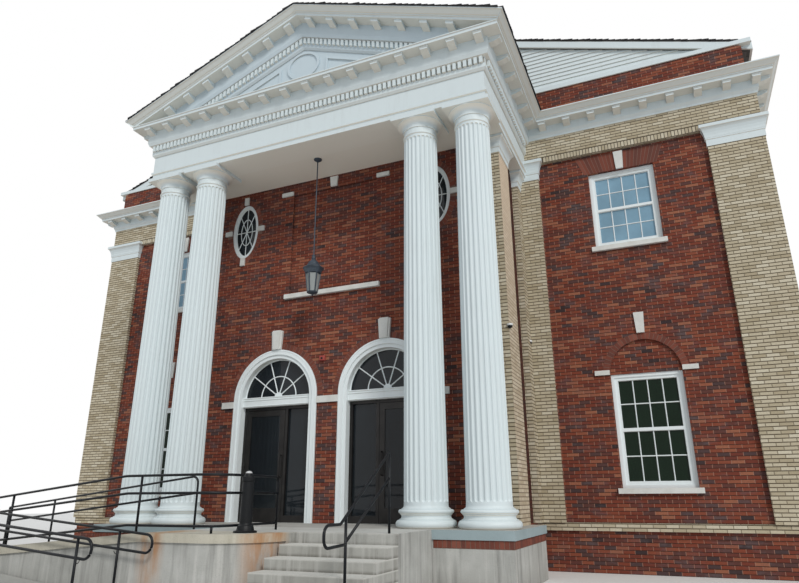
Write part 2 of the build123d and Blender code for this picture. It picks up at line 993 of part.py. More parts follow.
def main_modillions():
    bracket = modillion(0, -(corona_out - modillion_back), -bed_out, cornice_soffit)
    pieces = []
    start = frieze_half + corona_out + 25 + modillion_width / 2
    end = half_width + 100
    gaps = round((end - start) / modillion_pitch)
    for i in range(gaps + 1):
        pieces += both(Pos(start + i * (end - start) / gaps, 0, 0) * bracket)
    for y in spread(depth / 2 + 100, modillion_pitch):
        pieces += both(Pos(half_width, depth / 2 + y, 0) * Rot(0, 0, 90) * bracket)
    for x in spread(half_width + 100, modillion_pitch):
        pieces.append(Pos(x, depth, 0) * Rot(0, 0, 180) * bracket)
    return pieces


def portico_cornice():
    """Corona on the front and sides, with the crown moulding on the sides only."""
    rear = 0
    profile = cornice_section(0, False)
    sides = [(frieze_half + out, z) for out, z in profile]
    sides += [(-x, z) for x, z in reversed(sides)]
    front = [(frieze_front - out, z) for out, z in profile]
    front += [(rear, corona_top), (rear, cornice_soffit)]
    low = frieze_front - 2 * crown_out
    wide = frieze_half + 2 * crown_out
    body = along_y(sides, low, rear) & along_x(front, -wide, wide)
    inner = frieze_half - cornice_reach
    body -= block(-inner, inner, frieze_front + cornice_reach, rear + fit, cornice_soffit - fit,
                  corona_top + fit)
    crown = cornice_section(0, True)[4:]
    crown_points = [(frieze_half + out, z) for out, z in crown]
    crown_points += [(frieze_half, crown_top), (frieze_half, corona_top)]
    run = along_y(crown_points, frieze_front - crown_out, rear)
    corner = frieze_front - crown_out
    reach = frieze_half + crown_out
    mitre = plan([(frieze_half, frieze_front), (reach, corner), (frieze_half, corner)],
                 corona_top - fit, crown_top + fit)
    run -= mitre
    for piece in both(run):
        body += piece
    return body


def portico_modillions():
    bracket = modillion(0, -(corona_out - modillion_back), -bed_out, cornice_soffit)
    pieces = []
    for x in spread(frieze_half, modillion_pitch):
        pieces.append(Pos(x, frieze_front, 0) * bracket)
    side_reach = abs(frieze_front) - corona_out - modillion_width
    gaps = round(side_reach / modillion_pitch)
    for i in range(gaps + 1):
        y = frieze_front + i * side_reach / gaps
        pieces += both(Pos(frieze_half, y, 0) * Rot(0, 0, 90) * bracket)
    return pieces


# Pediment

def raking_cornice():
    """Corona and crown carried up both slopes, meeting plumb at the apex."""
    reach = frieze_half + crown_out
    lift = pediment_top(0) - crown_top
    section = [(frieze_front - out, z + lift) for out, z in cornice_section(0, True)]
    section += [(frieze_front + pediment_wall, crown_top + lift)]
    section += [(frieze_front + pediment_wall, cornice_soffit + lift)]
    section = section[1:]
    run = along_rake(section, 0, reach, pediment_rise)
    corner = frieze_front - crown_out
    mitre = plan([(frieze_half, frieze_front), (reach, corner), (reach + fit, corner),
                  (reach + fit, fit), (frieze_half, fit)], 0, ridge_height)
    run -= mitre
    run -= block(-fit, reach + fit, corner - fit, fit, 0, corona_top)
    whole = run + run.mirror(Plane.YZ)
    return whole


def raking_modillions():
    lift = pediment_top(0) - crown_top
    top = cornice_soffit + lift
    h = modillion_height
    front = frieze_front - corona_out + modillion_back
    pieces = []
    reach = frieze_half - 420
    gaps = round(reach / modillion_pitch)
    for i in range(gaps):
        x = (i + 0.5) * modillion_pitch
        x0 = x - modillion_width / 2
        drop = pediment_rise * x0
        points = [
            (frieze_front - bed_out, top - drop),
            (front, top - drop),
            (front, top - drop - h * 0.6),
            (frieze_front - bed_out, top - drop - h),
        ]
        pieces += both(along_rake(points, x0, x0 + modillion_width, pediment_rise))
    return pieces


def panel_corners(inset):
    """Corners of the three-sided panel beside the medallion, drawn in by the inset."""
    margin = panel_margin * 0.75 + inset
    left = medallion_half_width + panel_margin + inset
    foot = corona_top + margin
    lift = pediment_top(0) - crown_top
    peak = frieze_top + lift - margin * math.hypot(1, pediment_rise)
    return [(left, foot), ((peak - foot) / pediment_rise, foot), (left, peak - pediment_rise * left)]


def side_panel():
    """The moulding round the panel at the right of the medallion."""
    face = frieze_front
    ring = along_y(panel_corners(0), face - moulding_out, face)
    return ring - along_y(panel_corners(moulding_width), face - moulding_out - fit, face + fit)


def tympanum():
    """The wall inside the pediment, with its raking bed moulding and framed panels."""
    lift = pediment_top(0) - crown_top
    face = frieze_front
    rear = face + pediment_wall
    foot = corona_top
    half = (pediment_top(0) - (crown_top - cornice_soffit) - foot) / pediment_rise
    wall_points = [(-half, foot), (half, foot), (0, foot + half * pediment_rise)]
    body = along_y(wall_points, face, rear)
    bed = [(face - out, z + lift) for out, z in entablature_profile()[5:]]
    bed += [(rear, cornice_soffit + lift), (rear, frieze_top + lift)]
    run = along_rake(bed, 0, half, pediment_rise)
    run -= block(-fit, half + fit, face - crown_out, rear + fit, 0, foot)
    body += run
    body += run.mirror(Plane.YZ)
    body &= block(-frieze_half, frieze_half, face - crown_out, rear, foot, ridge_height)
    ratio = medallion_half_height / medallion_half_width
    ring = arch_disc(0, medallion_z, medallion_half_width, face - moulding_out, face, ratio)
    inner = medallion_half_width - moulding_width
    inner_ratio = (medallion_half_height - moulding_width) / inner
    ring -= arch_disc(0, medallion_z, inner, face - crown_out, face, inner_ratio)
    body += ring
    for frame in both(side_panel()):
        body += frame
    return body


def portico_roof():
    """Two slopes from the raking cornice back to the main block."""
    rear = 0
    front = frieze_front + pediment_wall
    reach = frieze_half + crown_out
    top = pediment_top(0)
    points = [
        (0, top),
        (frieze_half, top - pediment_rise * frieze_half),
        (frieze_half, top - pediment_rise * frieze_half - pediment_roof),
        (0, top - pediment_roof),
    ]
    slope = along_y(points, front, rear)
    eave = [
        (frieze_half, top - pediment_rise * frieze_half),
        (reach, crown_top),
        (frieze_half, crown_top),
    ]
    corner = frieze_front - crown_out
    eave_side = along_y(eave, corner, rear)
    eave_side &= plan([(frieze_half, frieze_front), (reach, corner), (reach, rear),
                       (frieze_half, rear)], crown_top, top)
    slope += eave_side
    return slope + slope.mirror(Plane.YZ)


# Columns

def shaft_radius(z):
    """Radius of the tapering shaft at a height."""
    foot = floor_level + column_base_height
    neck = soffit_level - abacus_height - capital_height
    share = (z - foot) / (neck - foot)
    return shaft_foot_radius + (shaft_neck_radius - shaft_foot_radius) * share


def flute_cutter():
    """A slim cone with round ends that cuts one flute along the taper of the shaft."""
    ends = []
    for z in (floor_level + column_base_height + flute_stop,
              soffit_level - abacus_height - capital_height - flute_stop):
        chord = math.pi * shaft_radius(z) / flutes - flute_arris / 2
        round_radius = (chord ** 2 + flute_depth ** 2) / (2 * flute_depth)
        ends.append((shaft_radius(z) - flute_depth + round_radius, z, round_radius))
    (x0, z0, r0), (x1, z1, r1) = ends
    length = math.hypot(x1 - x0, z1 - z0) - r0 - r1
    half = 0.7071
    profile = [
        Line((0, 0, -r0), (0, 0, length + r1)),
        ThreePointArc((0, 0, length + r1), (r1 * half, 0, length + r1 * half), (r1, 0, length)),
        Line((r1, 0, length), (r0, 0, 0)),
        ThreePointArc((r0, 0, 0), (r0 * half, 0, -r0 * half), (0, 0, -r0)),
    ]
    cutter = revolve(make_face(Curve() + profile), Axis.Z)
    lean = math.degrees(math.atan2(x1 - x0, z1 - z0))
    return Pos(x0, 0, z0) * Rot(0, lean, 0) * Pos(0, 0, r0) * cutter


def turned(edges):
    """A solid turned about the column's axis from a closed outline."""
    return revolve(make_face(Curve() + edges), Axis.Z)


def column_base():
    """Large lower torus, scotia, small upper torus and the curve into the shaft."""
    z = floor_level
    h = column_base_height
    r = shaft_foot_radius
    b = base_plinth_half
    scotia_top = (r + 62, 0, z + h * 0.62)
    torus_foot = (r + 62, 0, z + h * 0.65)
    torus_top = (r + 62, 0, z + h * 0.83)
    return turned([
        Line((0, 0, z), (b - 25, 0, z)),
        ThreePointArc((b - 25, 0, z), (b + 12, 0, z + h * 0.18), (b - 25, 0, z + h * 0.36)),
        Line((b - 25, 0, z + h * 0.36), (b - 45, 0, z + h * 0.36)),
        Line((b - 45, 0, z + h * 0.36), (b - 45, 0, z + h * 0.40)),
        ThreePointArc((b - 45, 0, z + h * 0.40), (r + 38, 0, z + h * 0.50), scotia_top),
        Line(scotia_top, torus_foot),
        ThreePointArc(torus_foot, (r + 86, 0, z + h * 0.74), torus_top),
        Line(torus_top, (r + 38, 0, z + h * 0.83)),
        Line((r + 38, 0, z + h * 0.83), (r + 38, 0, z + h * 0.87)),
        ThreePointArc((r + 38, 0, z + h * 0.87), (r + 12, 0, z + h * 0.915), (r, 0, z + h)),
        Line((r, 0, z + h), (0, 0, z + h)),
        Line((0, 0, z + h), (0, 0, z)),
    ])


def column_capital():
    """Astragal, necking and a wide hollow flare under the square abacus."""
    n = shaft_neck_radius
    c = capital_height
    z = soffit_level - abacus_height - c
    a = abacus_half
    flare_foot = (n + 12, 0, z + c * 0.53)
    flare_top = (a - 26, 0, z + c * 0.92)
    cap = turned([
        Line((0, 0, z), (n, 0, z)),
        ThreePointArc((n, 0, z), (n + 18, 0, z + c * 0.06), (n, 0, z + c * 0.12)),
        Line((n, 0, z + c * 0.12), (n - 4, 0, z + c * 0.46)),
        Line((n - 4, 0, z + c * 0.46), (n + 12, 0, z + c * 0.46)),
        Line((n + 12, 0, z + c * 0.46), flare_foot),
        ThreePointArc(flare_foot, (n + 34, 0, z + c * 0.76), flare_top),
        Line(flare_top, (a - 8, 0, z + c * 0.95)),
        Line((a - 8, 0, z + c * 0.95), (a - 8, 0, z + c)),
        Line((a - 8, 0, z + c), (0, 0, z + c)),
        Line((0, 0, z + c), (0, 0, z)),
    ])
    return cap + block(-a, a, -a, a, z + c, soffit_level)


def column():
    """Turned base, tapering shaft with round-ended flutes, and capital, as one solid."""
    foot = floor_level + column_base_height
    neck = soffit_level - abacus_height - capital_height
    shaft = Pos(0, 0, (foot + neck) / 2) * Cone(shaft_foot_radius, shaft_neck_radius, neck - foot)
    cutter = flute_cutter()
    for i in range(flutes):
        shaft -= Rot(0, 0, 360 / flutes * i) * cutter
    return shaft + column_base() + column_capital()


# Portico floor, ceiling and base

def portico_floor():
    slab = block(-stylobate_half, stylobate_half, stylobate_front, 0,
                 floor_level - stylobate_height, floor_level)
    inner = block_half + base_out
    slab -= block(-inner, inner, -block_out, fit, 0, floor_level + fit)
    slab -= block(-stylobate_half - fit, stylobate_half + fit, anta_rear, fit, 0, floor_level + fit)
    return slab


def portico_base():
    w = stylobate_half - 25
    y0 = stylobate_front + 25
    top = floor_level - stylobate_height
    ring = block(-w, w, y0, anta_rear, 0, top)
    t = portico_base_wall
    ring -= block(-w + t, w - t, y0 + t, 0, -fit, top + fit)
    return ring


def portico_ceiling():
    inner = frieze_half - beam_width
    y0 = frieze_front + beam_width
    board = block(-inner, inner, y0, -block_out, soffit_level, soffit_level + ceiling_board)
    board += block(-inner, inner, -block_out, 0, soffit_level, soffit_level + ceiling_board)
    return board


# Roof and gables

def main_roof():
    """Both slopes; the boards along their edges stand below the lip of the shingles."""
    reach = half_width + eave_out
    front = gable_set_back - rake_out
    points = [
        (0, ridge_height),
        (reach, roof_top(reach)),
        (reach, roof_top(reach) - roof_thick),
        (0, ridge_height - roof_thick),
        (-reach, roof_top(reach) - roof_thick),
        (-reach, roof_top(reach)),
    ]
    roof = along_y(points, front, depth - front)
    for board in rake_boards():
        roof -= both(board)
    return roof


def rake_boards():
    """White boards along the edges of the right-hand slope, under the lip."""
    reach = half_width + eave_out
    front = gable_set_back - rake_out
    rake = [
        (0, ridge_height - roof_lip),
        (reach, roof_top(reach) - roof_lip),
        (reach, roof_top(reach) - roof_thick),
        (0, ridge_height - roof_thick),
    ]
    boards = [along_y(rake, front, front + rake_board)]
    boards.append(along_y(rake, depth - front - rake_board, depth - front))
    inner = reach - rake_board
    eave = [
        (inner, roof_top(inner) - roof_lip),
        (reach, roof_top(reach) - roof_lip),
        (reach, roof_top(reach) - roof_thick),
        (inner, roof_top(inner) - roof_thick),
    ]
    boards.append(along_y(eave, front + rake_board, depth - front - rake_board))
    return boards


def gable(y0):
    """The boarded gable wall, standing on the brick wall below."""
    half = (ridge_height - roof_thick - gable_base) / roof_pitch
    points = [(-half, gable_base), (half, gable_base), (0, ridge_height - roof_thick)]
    return along_y(points, y0, y0 + gable_thick)


def gable_ledge():
    """Sloping white boards that cover the wall top in front of each gable."""
    half = half_width + eave_out - roof_lip
    points = [
        (-ledge_out, gable_base),
        (gable_set_back, gable_base),
        (gable_set_back, gable_base + ledge_height + ledge_rise),
        (-ledge_out, gable_base + ledge_height),
    ]
    board = along_x(points, -half, half) - main_roof()
    for rake in rake_boards():
        for piece in both(rake):
            board -= piece
    covered = (pediment_top(0) - gable_base) / pediment_rise
    porch = [(-covered, gable_base), (covered, gable_base), (0, pediment_top(0))]
    board -= along_y(porch, -ledge_out - fit, 0)
    return max(board.solids(), key=lambda solid: solid.volume)


def gables():
    """Boarded gables, the boards over the wall tops before them, and the roof's edge boards."""
    front = gable(gable_set_back) + gable_ledge()
    trim = []
    for board in rake_boards():
        trim += both(board)
    return [front, front.mirror(Plane.XZ.offset(-depth / 2))] + trim


# Lantern

def prism6(r0, r1, z0, z1):
    """A six-sided body that tapers from one radius to another."""
    low = Pos(0, 0, z0) * RegularPolygon(r0, 6)
    high = Pos(0, 0, z1) * RegularPolygon(r1, 6)
    return loft([low.face(), high.face()], ruled=True)


def lantern():
    """Canopy, rigid rod and hexagonal lantern, hung from the portico ceiling."""
    z = lantern_foot
    g = z + 60 + lantern_glass_height
    body = prism6(lantern_radius * 0.62, lantern_radius * 0.72, z + 30, z + 60)
    frame = prism6(lantern_radius * 0.72, lantern_radius, z + 60, g)
    panes = prism6(lantern_radius * 0.72 - 14, lantern_radius - 14, z + 60, g)
    for i in range(3):
        gap = Pos(0, 0, (z + 60 + g) / 2) * Rot(0, 0, 60 * i + 30) * Box(1000, 96, g - z - 110)
        frame -= gap
    frame += panes
    cap = prism6(lantern_radius * 1.12, lantern_radius * 0.5, g, g + lantern_cap_height * 0.6)
    cap += prism6(lantern_radius * 0.5, lantern_radius * 0.16, g + lantern_cap_height * 0.6,
                  g + lantern_cap_height)
    finial = Pos(0, 0, z + 15) * Cylinder(14, 30)
    top = soffit_level
    z1 = g + lantern_cap_height
    rod = Pos(0, 0, (z1 + top) / 2) * Cylinder(lantern_rod_radius, top - z1)
    canopy = Pos(0, 0, top - canopy_height / 2) * Cylinder(canopy_radius, canopy_height)
    whole = body + frame + cap + finial + rod + canopy
    return Pos(0, lantern_y, 0) * whole


# Steps, landing and ramp

def landing():
    return block(landing_left, steps_right, landing_front, stylobate_front, 0, floor_level)


def steps():
    rise = floor_level / risers
    points = [(landing_front, 0), (landing_front, floor_level - rise)]
    y = landing_front
    z = floor_level - rise
    for i in range(1, risers):
        y -= tread
        points.append((y, z))
        z -= rise
        if z > 1:
            points.append((y, z))
    points.append((y, 0))
    return along_x(points, steps_left, steps_right)


def ramp_surface(x):
    """Height of the upper flight at x."""
    run = min(max(landing_left - x, 0), ramp_length)
    return floor_level - ramp_drop * run / ramp_length


def under_coping():
    """What is cut away below the coping, so that the coping stands proud of the ramp's face."""
    corner = steps_left - ramp_corner_radius
    level = floor_level - coping_height
    points = [
        (turn, -fit),
        (corner, -fit),
        (corner, level),
        (landing_left, level),
        (turn, ramp_surface(turn) - coping_height),
    ]
    strip = along_y(points, ramp_outer - fit, ramp_outer + coping_out)
    r = ramp_corner_radius
    ring = Cylinder(r * 2, level + fit) - Cylinder(r - coping_out, level + fit * 3)
    ring = Pos(corner, ramp_outer + r, (level - fit) / 2) * ring
    return strip + (ring & block(corner, steps_left, ramp_outer - fit, ramp_outer + r, -fit, level))


def ramp_upper():
    """The upper flight and the front part of the landing, with the round corner at the steps."""
    points = [
        (turn, 0),
        (steps_left, 0),
        (steps_left, floor_level),
        (landing_left, floor_level),
        (turn, ramp_surface(turn)),
    ]
    body = along_y(points, ramp_outer, landing_front)
    r = ramp_corner_radius
    notch = block(steps_left - r, steps_left + fit, ramp_outer - fit, ramp_outer + r, -fit,
                  floor_level + fit)
    notch -= Pos(steps_left - r, ramp_outer + r, floor_level / 2) * Cylinder(r, floor_level * 3)
    body -= notch
    body -= under_coping()
    inner = [
        (turn, 0),
        (landing_left, 0),
        (landing_left, floor_level),
        (turn, ramp_surface(turn)),
    ]
    return body + along_y(inner, landing_front, ramp_inner)


def ramp_turn():
    low = ramp_outer - lower_ramp_width
    return block(turn - turn_length, turn, low, ramp_inner, 0, floor_level - ramp_drop)


def lower_surface(x):
    """Height of the lower flight at x."""
    level = floor_level - ramp_drop
    share = min(max((x - turn) / lower_ramp_length, 0), 1)
    return level + (lower_ramp_toe - level) * share


def ramp_lower():
    toe = turn + lower_ramp_length
    points = [(turn, 0), (toe, 0), (toe, lower_ramp_toe), (turn, lower_surface(turn))]
    return along_y(points, ramp_outer - lower_ramp_width, ramp_outer)


def ramp():
    return ramp_upper() + ramp_turn() + ramp_lower()


def made_rail(rails, posts, foot_at):
    """Rails along their paths and posts down into the surface, joined as one welded piece."""
    whole = rails[0]
    for rail in rails[1:]:
        whole += rail
    for (x, y, top) in posts:
        foot = foot_at(x) - fit
        whole += Pos(x, y, (foot + top) / 2) * Cylinder(rail_radius * 0.9, top - foot)
    return whole


def ramp_rail_outer():
    y = ramp_outer + rail_inset
    end = steps_left - ramp_corner_radius * 0.7
    start = turn - rail_end
    slope_start = turn + rail_end * 3
    rails = []
    for up in (rail_height, rail_mid, rail_low):
        points = [
            (start, y, ramp_surface(turn) + up),
            (slope_start, y, ramp_surface(slope_start) + up),
            (landing_left, y, floor_level + up),
            (end, y, floor_level + up),
        ]
        rails.append(tube(points))
    along = places(start, landing_left, rail_post_pitch)
    along += places(landing_left, end, rail_post_pitch / 2)[1:]
    posts = [(x, y, ramp_surface(x) + rail_height) for x in along]
    return made_rail(rails, posts, ramp_surface)


def ramp_rail_inner():
    y = ramp_inner - rail_inset
    end = landing_left - rail_end * 4
    rails = []
    for up in (rail_height, rail_mid):
        rails.append(tube([(turn, y, ramp_surface(turn) + up), (end, y, ramp_surface(end) + up)]))
    posts = [(x, y, ramp_surface(x) + rail_height) for x in places(turn, end, rail_post_pitch)]
    return made_rail(rails, posts, ramp_surface)


def ramp_rails_lower():
    """Loop rails on both sides of the lower flight, with rounded ends."""
    made = []
    far = ramp_outer - rail_inset
    near = ramp_outer - lower_ramp_width + rail_inset
    start = turn + rail_end
    for y, end in ((far, turn + lower_ramp_length), (near, turn + lower_ramp_length * 0.9)):
        low = rail_height - loop_height
        points = [
            (start, y, lower_surface(start) + rail_height),
            (end, y, lower_surface(end) + rail_height),
            (end + rail_radius, y, lower_surface(end) + low),
            (start, y, lower_surface(start) + low),
        ]
        loop = tube(points, bend=loop_bend)
        last = end - loop_height * 2
        posts = [(x, y, lower_surface(x) + rail_height) for x in places(start, last, rail_post_pitch)]
        made.append(made_rail([loop], posts, lower_surface))
    return made


def railings():
    """All the rails, their feet cut off at the surface of the ramp."""
    ground = ramp()
    rails = [ramp_rail_outer(), ramp_rail_inner()] + ramp_rails_lower()
    return [rail - ground for rail in rails] + [handrail()]


def handrail():
    """The twin rail over the steps, with its loop at the foot and a post at each end."""
    rise = floor_level / risers
    foot = Vector(steps_right - handrail_inset, landing_front - tread * 2 - rail_end,
                  floor_level - rise * 3)
    head = Vector(foot.X - handrail_lean, (landing_front + stylobate_front) / 2, floor_level)
    along = Vector(head.X - foot.X, head.Y - foot.Y, 0).normalized()
    up = Vector(0, 0, 1)
    start = foot - along * handrail_loop
    top = [
        foot + up * handrail_foot_height * 0.5,
        start + up * handrail_foot_height * 0.5,
        start + up * handrail_foot_height * 0.95,
        foot + up * handrail_foot_height,
        head + up * handrail_height,
    ]
    low = [foot + up * handrail_foot_height * 0.65, head + up * handrail_height * 0.62]
    body = tube([tuple(point) for point in top])
    body += tube([tuple(point) for point in low])
    for place, height in ((foot, handrail_foot_height), (head, handrail_height)):
        body += Pos(place.X, place.Y, place.Z + height / 2) * Cylinder(rail_radius, height)
    return body


def bollard():
    """The round metal post that carries the door switch beside the steps."""
    r = bollard_radius
    h = bollard_height
    points = [
        (0, 0),
        (r * 1.9, 0),
        (r * 1.9, 22),
        (r * 1.35, 40),
        (r * 1.2, 90),
        (r, 110),
        (r, h - 70),
        (r * 1.12, h - 62),
        (r * 1.12, h - 40),
        (r * 0.6, h - 10),
        (0, h),
    ]
    post = revolve(make_face(Polyline(*[(x, 0, z) for x, z in points], close=True)), Axis.Z)
    return Pos(steps_left - bollard_inset, ramp_outer + bollard_back, floor_level) * post


def save(name, shapes):
    """Move the pieces so that the origin is under the middle of the whole, and write them."""
    shapes = shapes if isinstance(shapes, list) else [shapes]
    solids = []
    for shape in shapes:
        solids += list((Pos(0, -centre_y, 0) * shape).solids())
    export_step(Compound(solids), os.path.join("parts", name + ".step"))


def main():
    os.makedirs("parts", exist_ok=True)
    save("foundation", foundation())
    save("ground_floor", ground_floor())
    save("upper_floor", upper_floor())
    save("attic_ceiling", attic_ceiling())
    save("front_walls", front_walls())
    save("front_wall_over_hall", front_wall_over_hall())
    save("side_walls", both(side_wall()))
    save("rear_wall", rear_wall())
    save("entrance_piers", entrance_piers())
    save("entrance_wall", entrance_wall_upper())
    save("entrance_side_walls", entrance_side_walls())
    save("door_casings", door_casings())
    save("door_frames", door_frames())
    save("entrance_glass", fanlights() + side_lights() + oval_glass())
    leaf = door_leaf()
    glass = door_glass()
    save("door_leaf_right", leaf)
    save("door_leaf_left", leaf.mirror(Plane.YZ))
    save("door_glass_right", glass)
    save("door_glass_left", glass.mirror(Plane.YZ))
    save("window_frames", oval_frames() + all_bays(window_frame))
    save("window_glass", all_bays(window_panes))
    save("stone_trim", entrance_stone() + all_stone())
    save("brick_pilasters", corner_pilasters() + respond_piers() + antae())
    save("pilaster_capitals", pilaster_capitals() + respond_capitals() + anta_capitals())
    save("brick_bands", [frieze_band(), plinth_band()])
    save("entablature", entablature())
    save("dentils", dentil_row() + raking_dentils())
    save("main_cornice", main_cornice())
    save("modillions", main_modillions() + portico_modillions() + raking_modillions())
    save("portico_cornice", portico_cornice())
    save("raking_cornice", raking_cornice())
    save("tympanum", tympanum())
    save("portico_roof", portico_roof())
    shaft = column()
    middles = (-column_outer_x, -column_inner_x, column_inner_x, column_outer_x)
    for number, x in enumerate(middles, 1):
        save("column_" + str(number), Pos(x, column_y, 0) * shaft)
    save("portico_floor", portico_floor())
    save("portico_base", portico_base())
    save("portico_ceiling", portico_ceiling())
    save("main_roof", main_roof())
    save("gables", gables())
    save("lantern", lantern())
    save("front_steps", landing() + steps())
    save("ramp", ramp())
    save("railings", railings())
    save("bollard", bollard())


main()
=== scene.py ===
import random
from math import atan2, cos, hypot, pi, radians, sin, sqrt, tan

import bmesh
import bpy
from mathutils import Matrix, Vector


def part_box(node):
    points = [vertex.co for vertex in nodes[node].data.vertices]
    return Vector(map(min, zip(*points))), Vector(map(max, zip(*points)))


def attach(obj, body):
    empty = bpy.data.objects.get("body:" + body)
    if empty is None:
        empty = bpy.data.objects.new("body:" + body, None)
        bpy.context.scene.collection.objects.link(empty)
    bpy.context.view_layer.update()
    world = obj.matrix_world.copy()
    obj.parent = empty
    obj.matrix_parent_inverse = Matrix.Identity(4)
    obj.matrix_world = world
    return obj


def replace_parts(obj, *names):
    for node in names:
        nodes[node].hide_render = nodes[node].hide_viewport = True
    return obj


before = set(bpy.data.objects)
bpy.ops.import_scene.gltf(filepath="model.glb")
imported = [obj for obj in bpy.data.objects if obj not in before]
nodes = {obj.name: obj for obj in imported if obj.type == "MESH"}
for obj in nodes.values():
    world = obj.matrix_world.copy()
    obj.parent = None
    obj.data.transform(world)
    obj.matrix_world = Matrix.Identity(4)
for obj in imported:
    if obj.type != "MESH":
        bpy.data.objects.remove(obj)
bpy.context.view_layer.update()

# The pieces are worked out with y = 0 on the brick face of the front wall, and moved by this.
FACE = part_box("front_walls")[0].y
HALF = 8.5
DEPTH = 17.0
BLOCK_OUT = 1.9
FRONT_BAYS = (-5.846, 5.846)
SIDE_BAYS = (2.1, 5.3, 8.5, 11.7, 14.9)
REAR_BAYS = (-5.85, -1.95, 1.95, 5.85)
LOWER = (1.29, 1.45, 3.561)
UPPER = (1.308, 6.228, 7.932)
DOORS = (-1.244, 1.244)
SPRING = 3.26
OVALS = (-2.321, 2.321)
OVAL_Z = 7.158
LANDING = 0.85
STEP_RISE = 0.141667
PITCH = 0.338
RIDGE = 13.3
PORCH_PITCH = 0.389
PORCH_RIDGE = 11.162
PORCH_HALF = 3.862
PORCH_OUT = 3.36
SHINGLE = 0.14
PROUD = 0.0045
BED = 0.0022


# Node materials

class Nodes:
    """A node tree, with a short call that adds a node and joins it."""

    def __init__(self, tree):
        self.tree = tree

    def put(self, socket, value):
        if isinstance(value, bpy.types.NodeSocket):
            self.tree.links.new(value, socket)
        elif socket.type == "RGBA":
            socket.default_value = (*value, 1.0)
        else:
            socket.default_value = value

    def add(self, kind, values, **settings):
        """A new node with its settings, and with values or links for its sockets."""
        node = self.tree.nodes.new(kind)
        for key, value in settings.items():
            setattr(node, key, value)
        for key, value in values.items():
            self.put(node.inputs[key], value)
        return node

    def math(self, op, *values):
        return self.add("ShaderNodeMath", dict(enumerate(values)), operation=op).outputs[0]


class Look(Nodes):
    """A node material, with short calls for its patterns and tones."""

    def __init__(self, name):
        self.mat = bpy.data.materials.new(name)
        self.mat.use_nodes = True
        super().__init__(self.mat.node_tree)
        self.shader = next(n for n in self.tree.nodes if n.type == "BSDF_PRINCIPLED")
        coord = self.tree.nodes.new("ShaderNodeTexCoord")
        self.here = coord.outputs["Object"]
        self.normal = coord.outputs["Normal"]

    def times(self, first, *others):
        for value in others:
            first = self.math("MULTIPLY", first, value)
        return first

    def above(self, value, limit):
        return self.math("GREATER_THAN", value, limit)

    def mix(self, factor, a, b):
        return self.add("ShaderNodeMix", {0: factor, 6: a, 7: b}, data_type="RGBA").outputs[2]

    def tint(self, colour, tone, *shares):
        """The colour with a tone over it, as strong as the product of the shares."""
        return self.mix(self.times(*shares), colour, tone)

    def pick(self, factor, a, b):
        """a where factor is 0 and b where it is 1, for plain numbers."""
        return self.add("ShaderNodeMix", {0: factor, 2: a, 3: b}, data_type="FLOAT").outputs[0]

    def split(self, vector):
        return self.add("ShaderNodeSeparateXYZ", {0: vector}).outputs[:]

    def join(self, *values):
        return self.add("ShaderNodeCombineXYZ", dict(enumerate(values))).outputs[0]

    def stretch(self, vector, scale):
        return self.add("ShaderNodeVectorMath", {0: vector, 1: scale}, operation="MULTIPLY").outputs[0]

    def noise(self, scale, detail=3.0, rough=0.55, vector=None):
        values = {"Vector": self.here if vector is None else vector,
                  "Scale": scale, "Detail": detail, "Roughness": rough}
        return self.add("ShaderNodeTexNoise", values).outputs["Fac"]

    def cell(self, vector):
        return self.add("ShaderNodeTexWhiteNoise", {"Vector": vector}, noise_dimensions="3D").outputs["Value"]

    def ramp(self, factor, *stops):
        node = self.add("ShaderNodeValToRGB", {0: factor})
        points = node.color_ramp.elements
        while len(points) < len(stops):
            points.new(0.5)
        for point, (place, colour) in zip(points, stops):
            point.position = place
            point.color = (*colour, 1.0)
        return node.outputs[0]

    def span(self, value, low, high, to_low=0.0, to_high=1.0):
        return self.add("ShaderNodeMapRange", dict(enumerate((value, low, high, to_low, to_high)))).outputs[0]

    def bump(self, height, distance, strength):
        values = {"Strength": strength, "Distance": distance, "Height": height}
        return self.add("ShaderNodeBump", values).outputs[0]

    def finish(self, colour, rough, normal=None, metal=0.0, specular=0.5):
        self.put(self.shader.inputs["Base Color"], colour)
        self.put(self.shader.inputs["Roughness"], rough)
        self.shader.inputs["Metallic"].default_value = metal
        self.shader.inputs["Specular IOR Level"].default_value = specular
        if normal is not None:
            self.put(self.shader.inputs["Normal"], normal)
        return self.mat


RED_STOPS = [
    (0.0, (0.04, 0.03, 0.032)), (0.14, (0.082, 0.052, 0.052)), (0.28, (0.112, 0.046, 0.038)),
    (0.45, (0.165, 0.042, 0.028)), (0.68, (0.215, 0.054, 0.031)), (0.88, (0.262, 0.078, 0.044)),
    (1.0, (0.33, 0.128, 0.074)),
]
RED_CUT_STOPS = [
    (0.0, (0.12, 0.042, 0.032)), (0.4, (0.16, 0.046, 0.031)), (0.8, (0.2, 0.056, 0.036)),
    (1.0, (0.24, 0.08, 0.055)),
]
BUFF_STOPS = [
    (0.0, (0.4, 0.34, 0.235)), (0.35, (0.49, 0.43, 0.315)), (0.7, (0.56, 0.5, 0.38)),
    (1.0, (0.63, 0.58, 0.46)),
]


def wall_plane(look):
    """Along the wall and up it, for a wall that faces any of the axes, in metres."""
    x, y, z = look.split(look.here)
    nx, ny, nz = look.split(look.normal)
    sideways = look.above(look.math("ABSOLUTE", nx), 0.6)
    flat = look.above(look.math("ABSOLUTE", nz), 0.6)
    along = look.pick(sideways, x, y)
    up = look.pick(flat, z, look.math("SUBTRACT", y, 0.03))
    return along, up, sideways


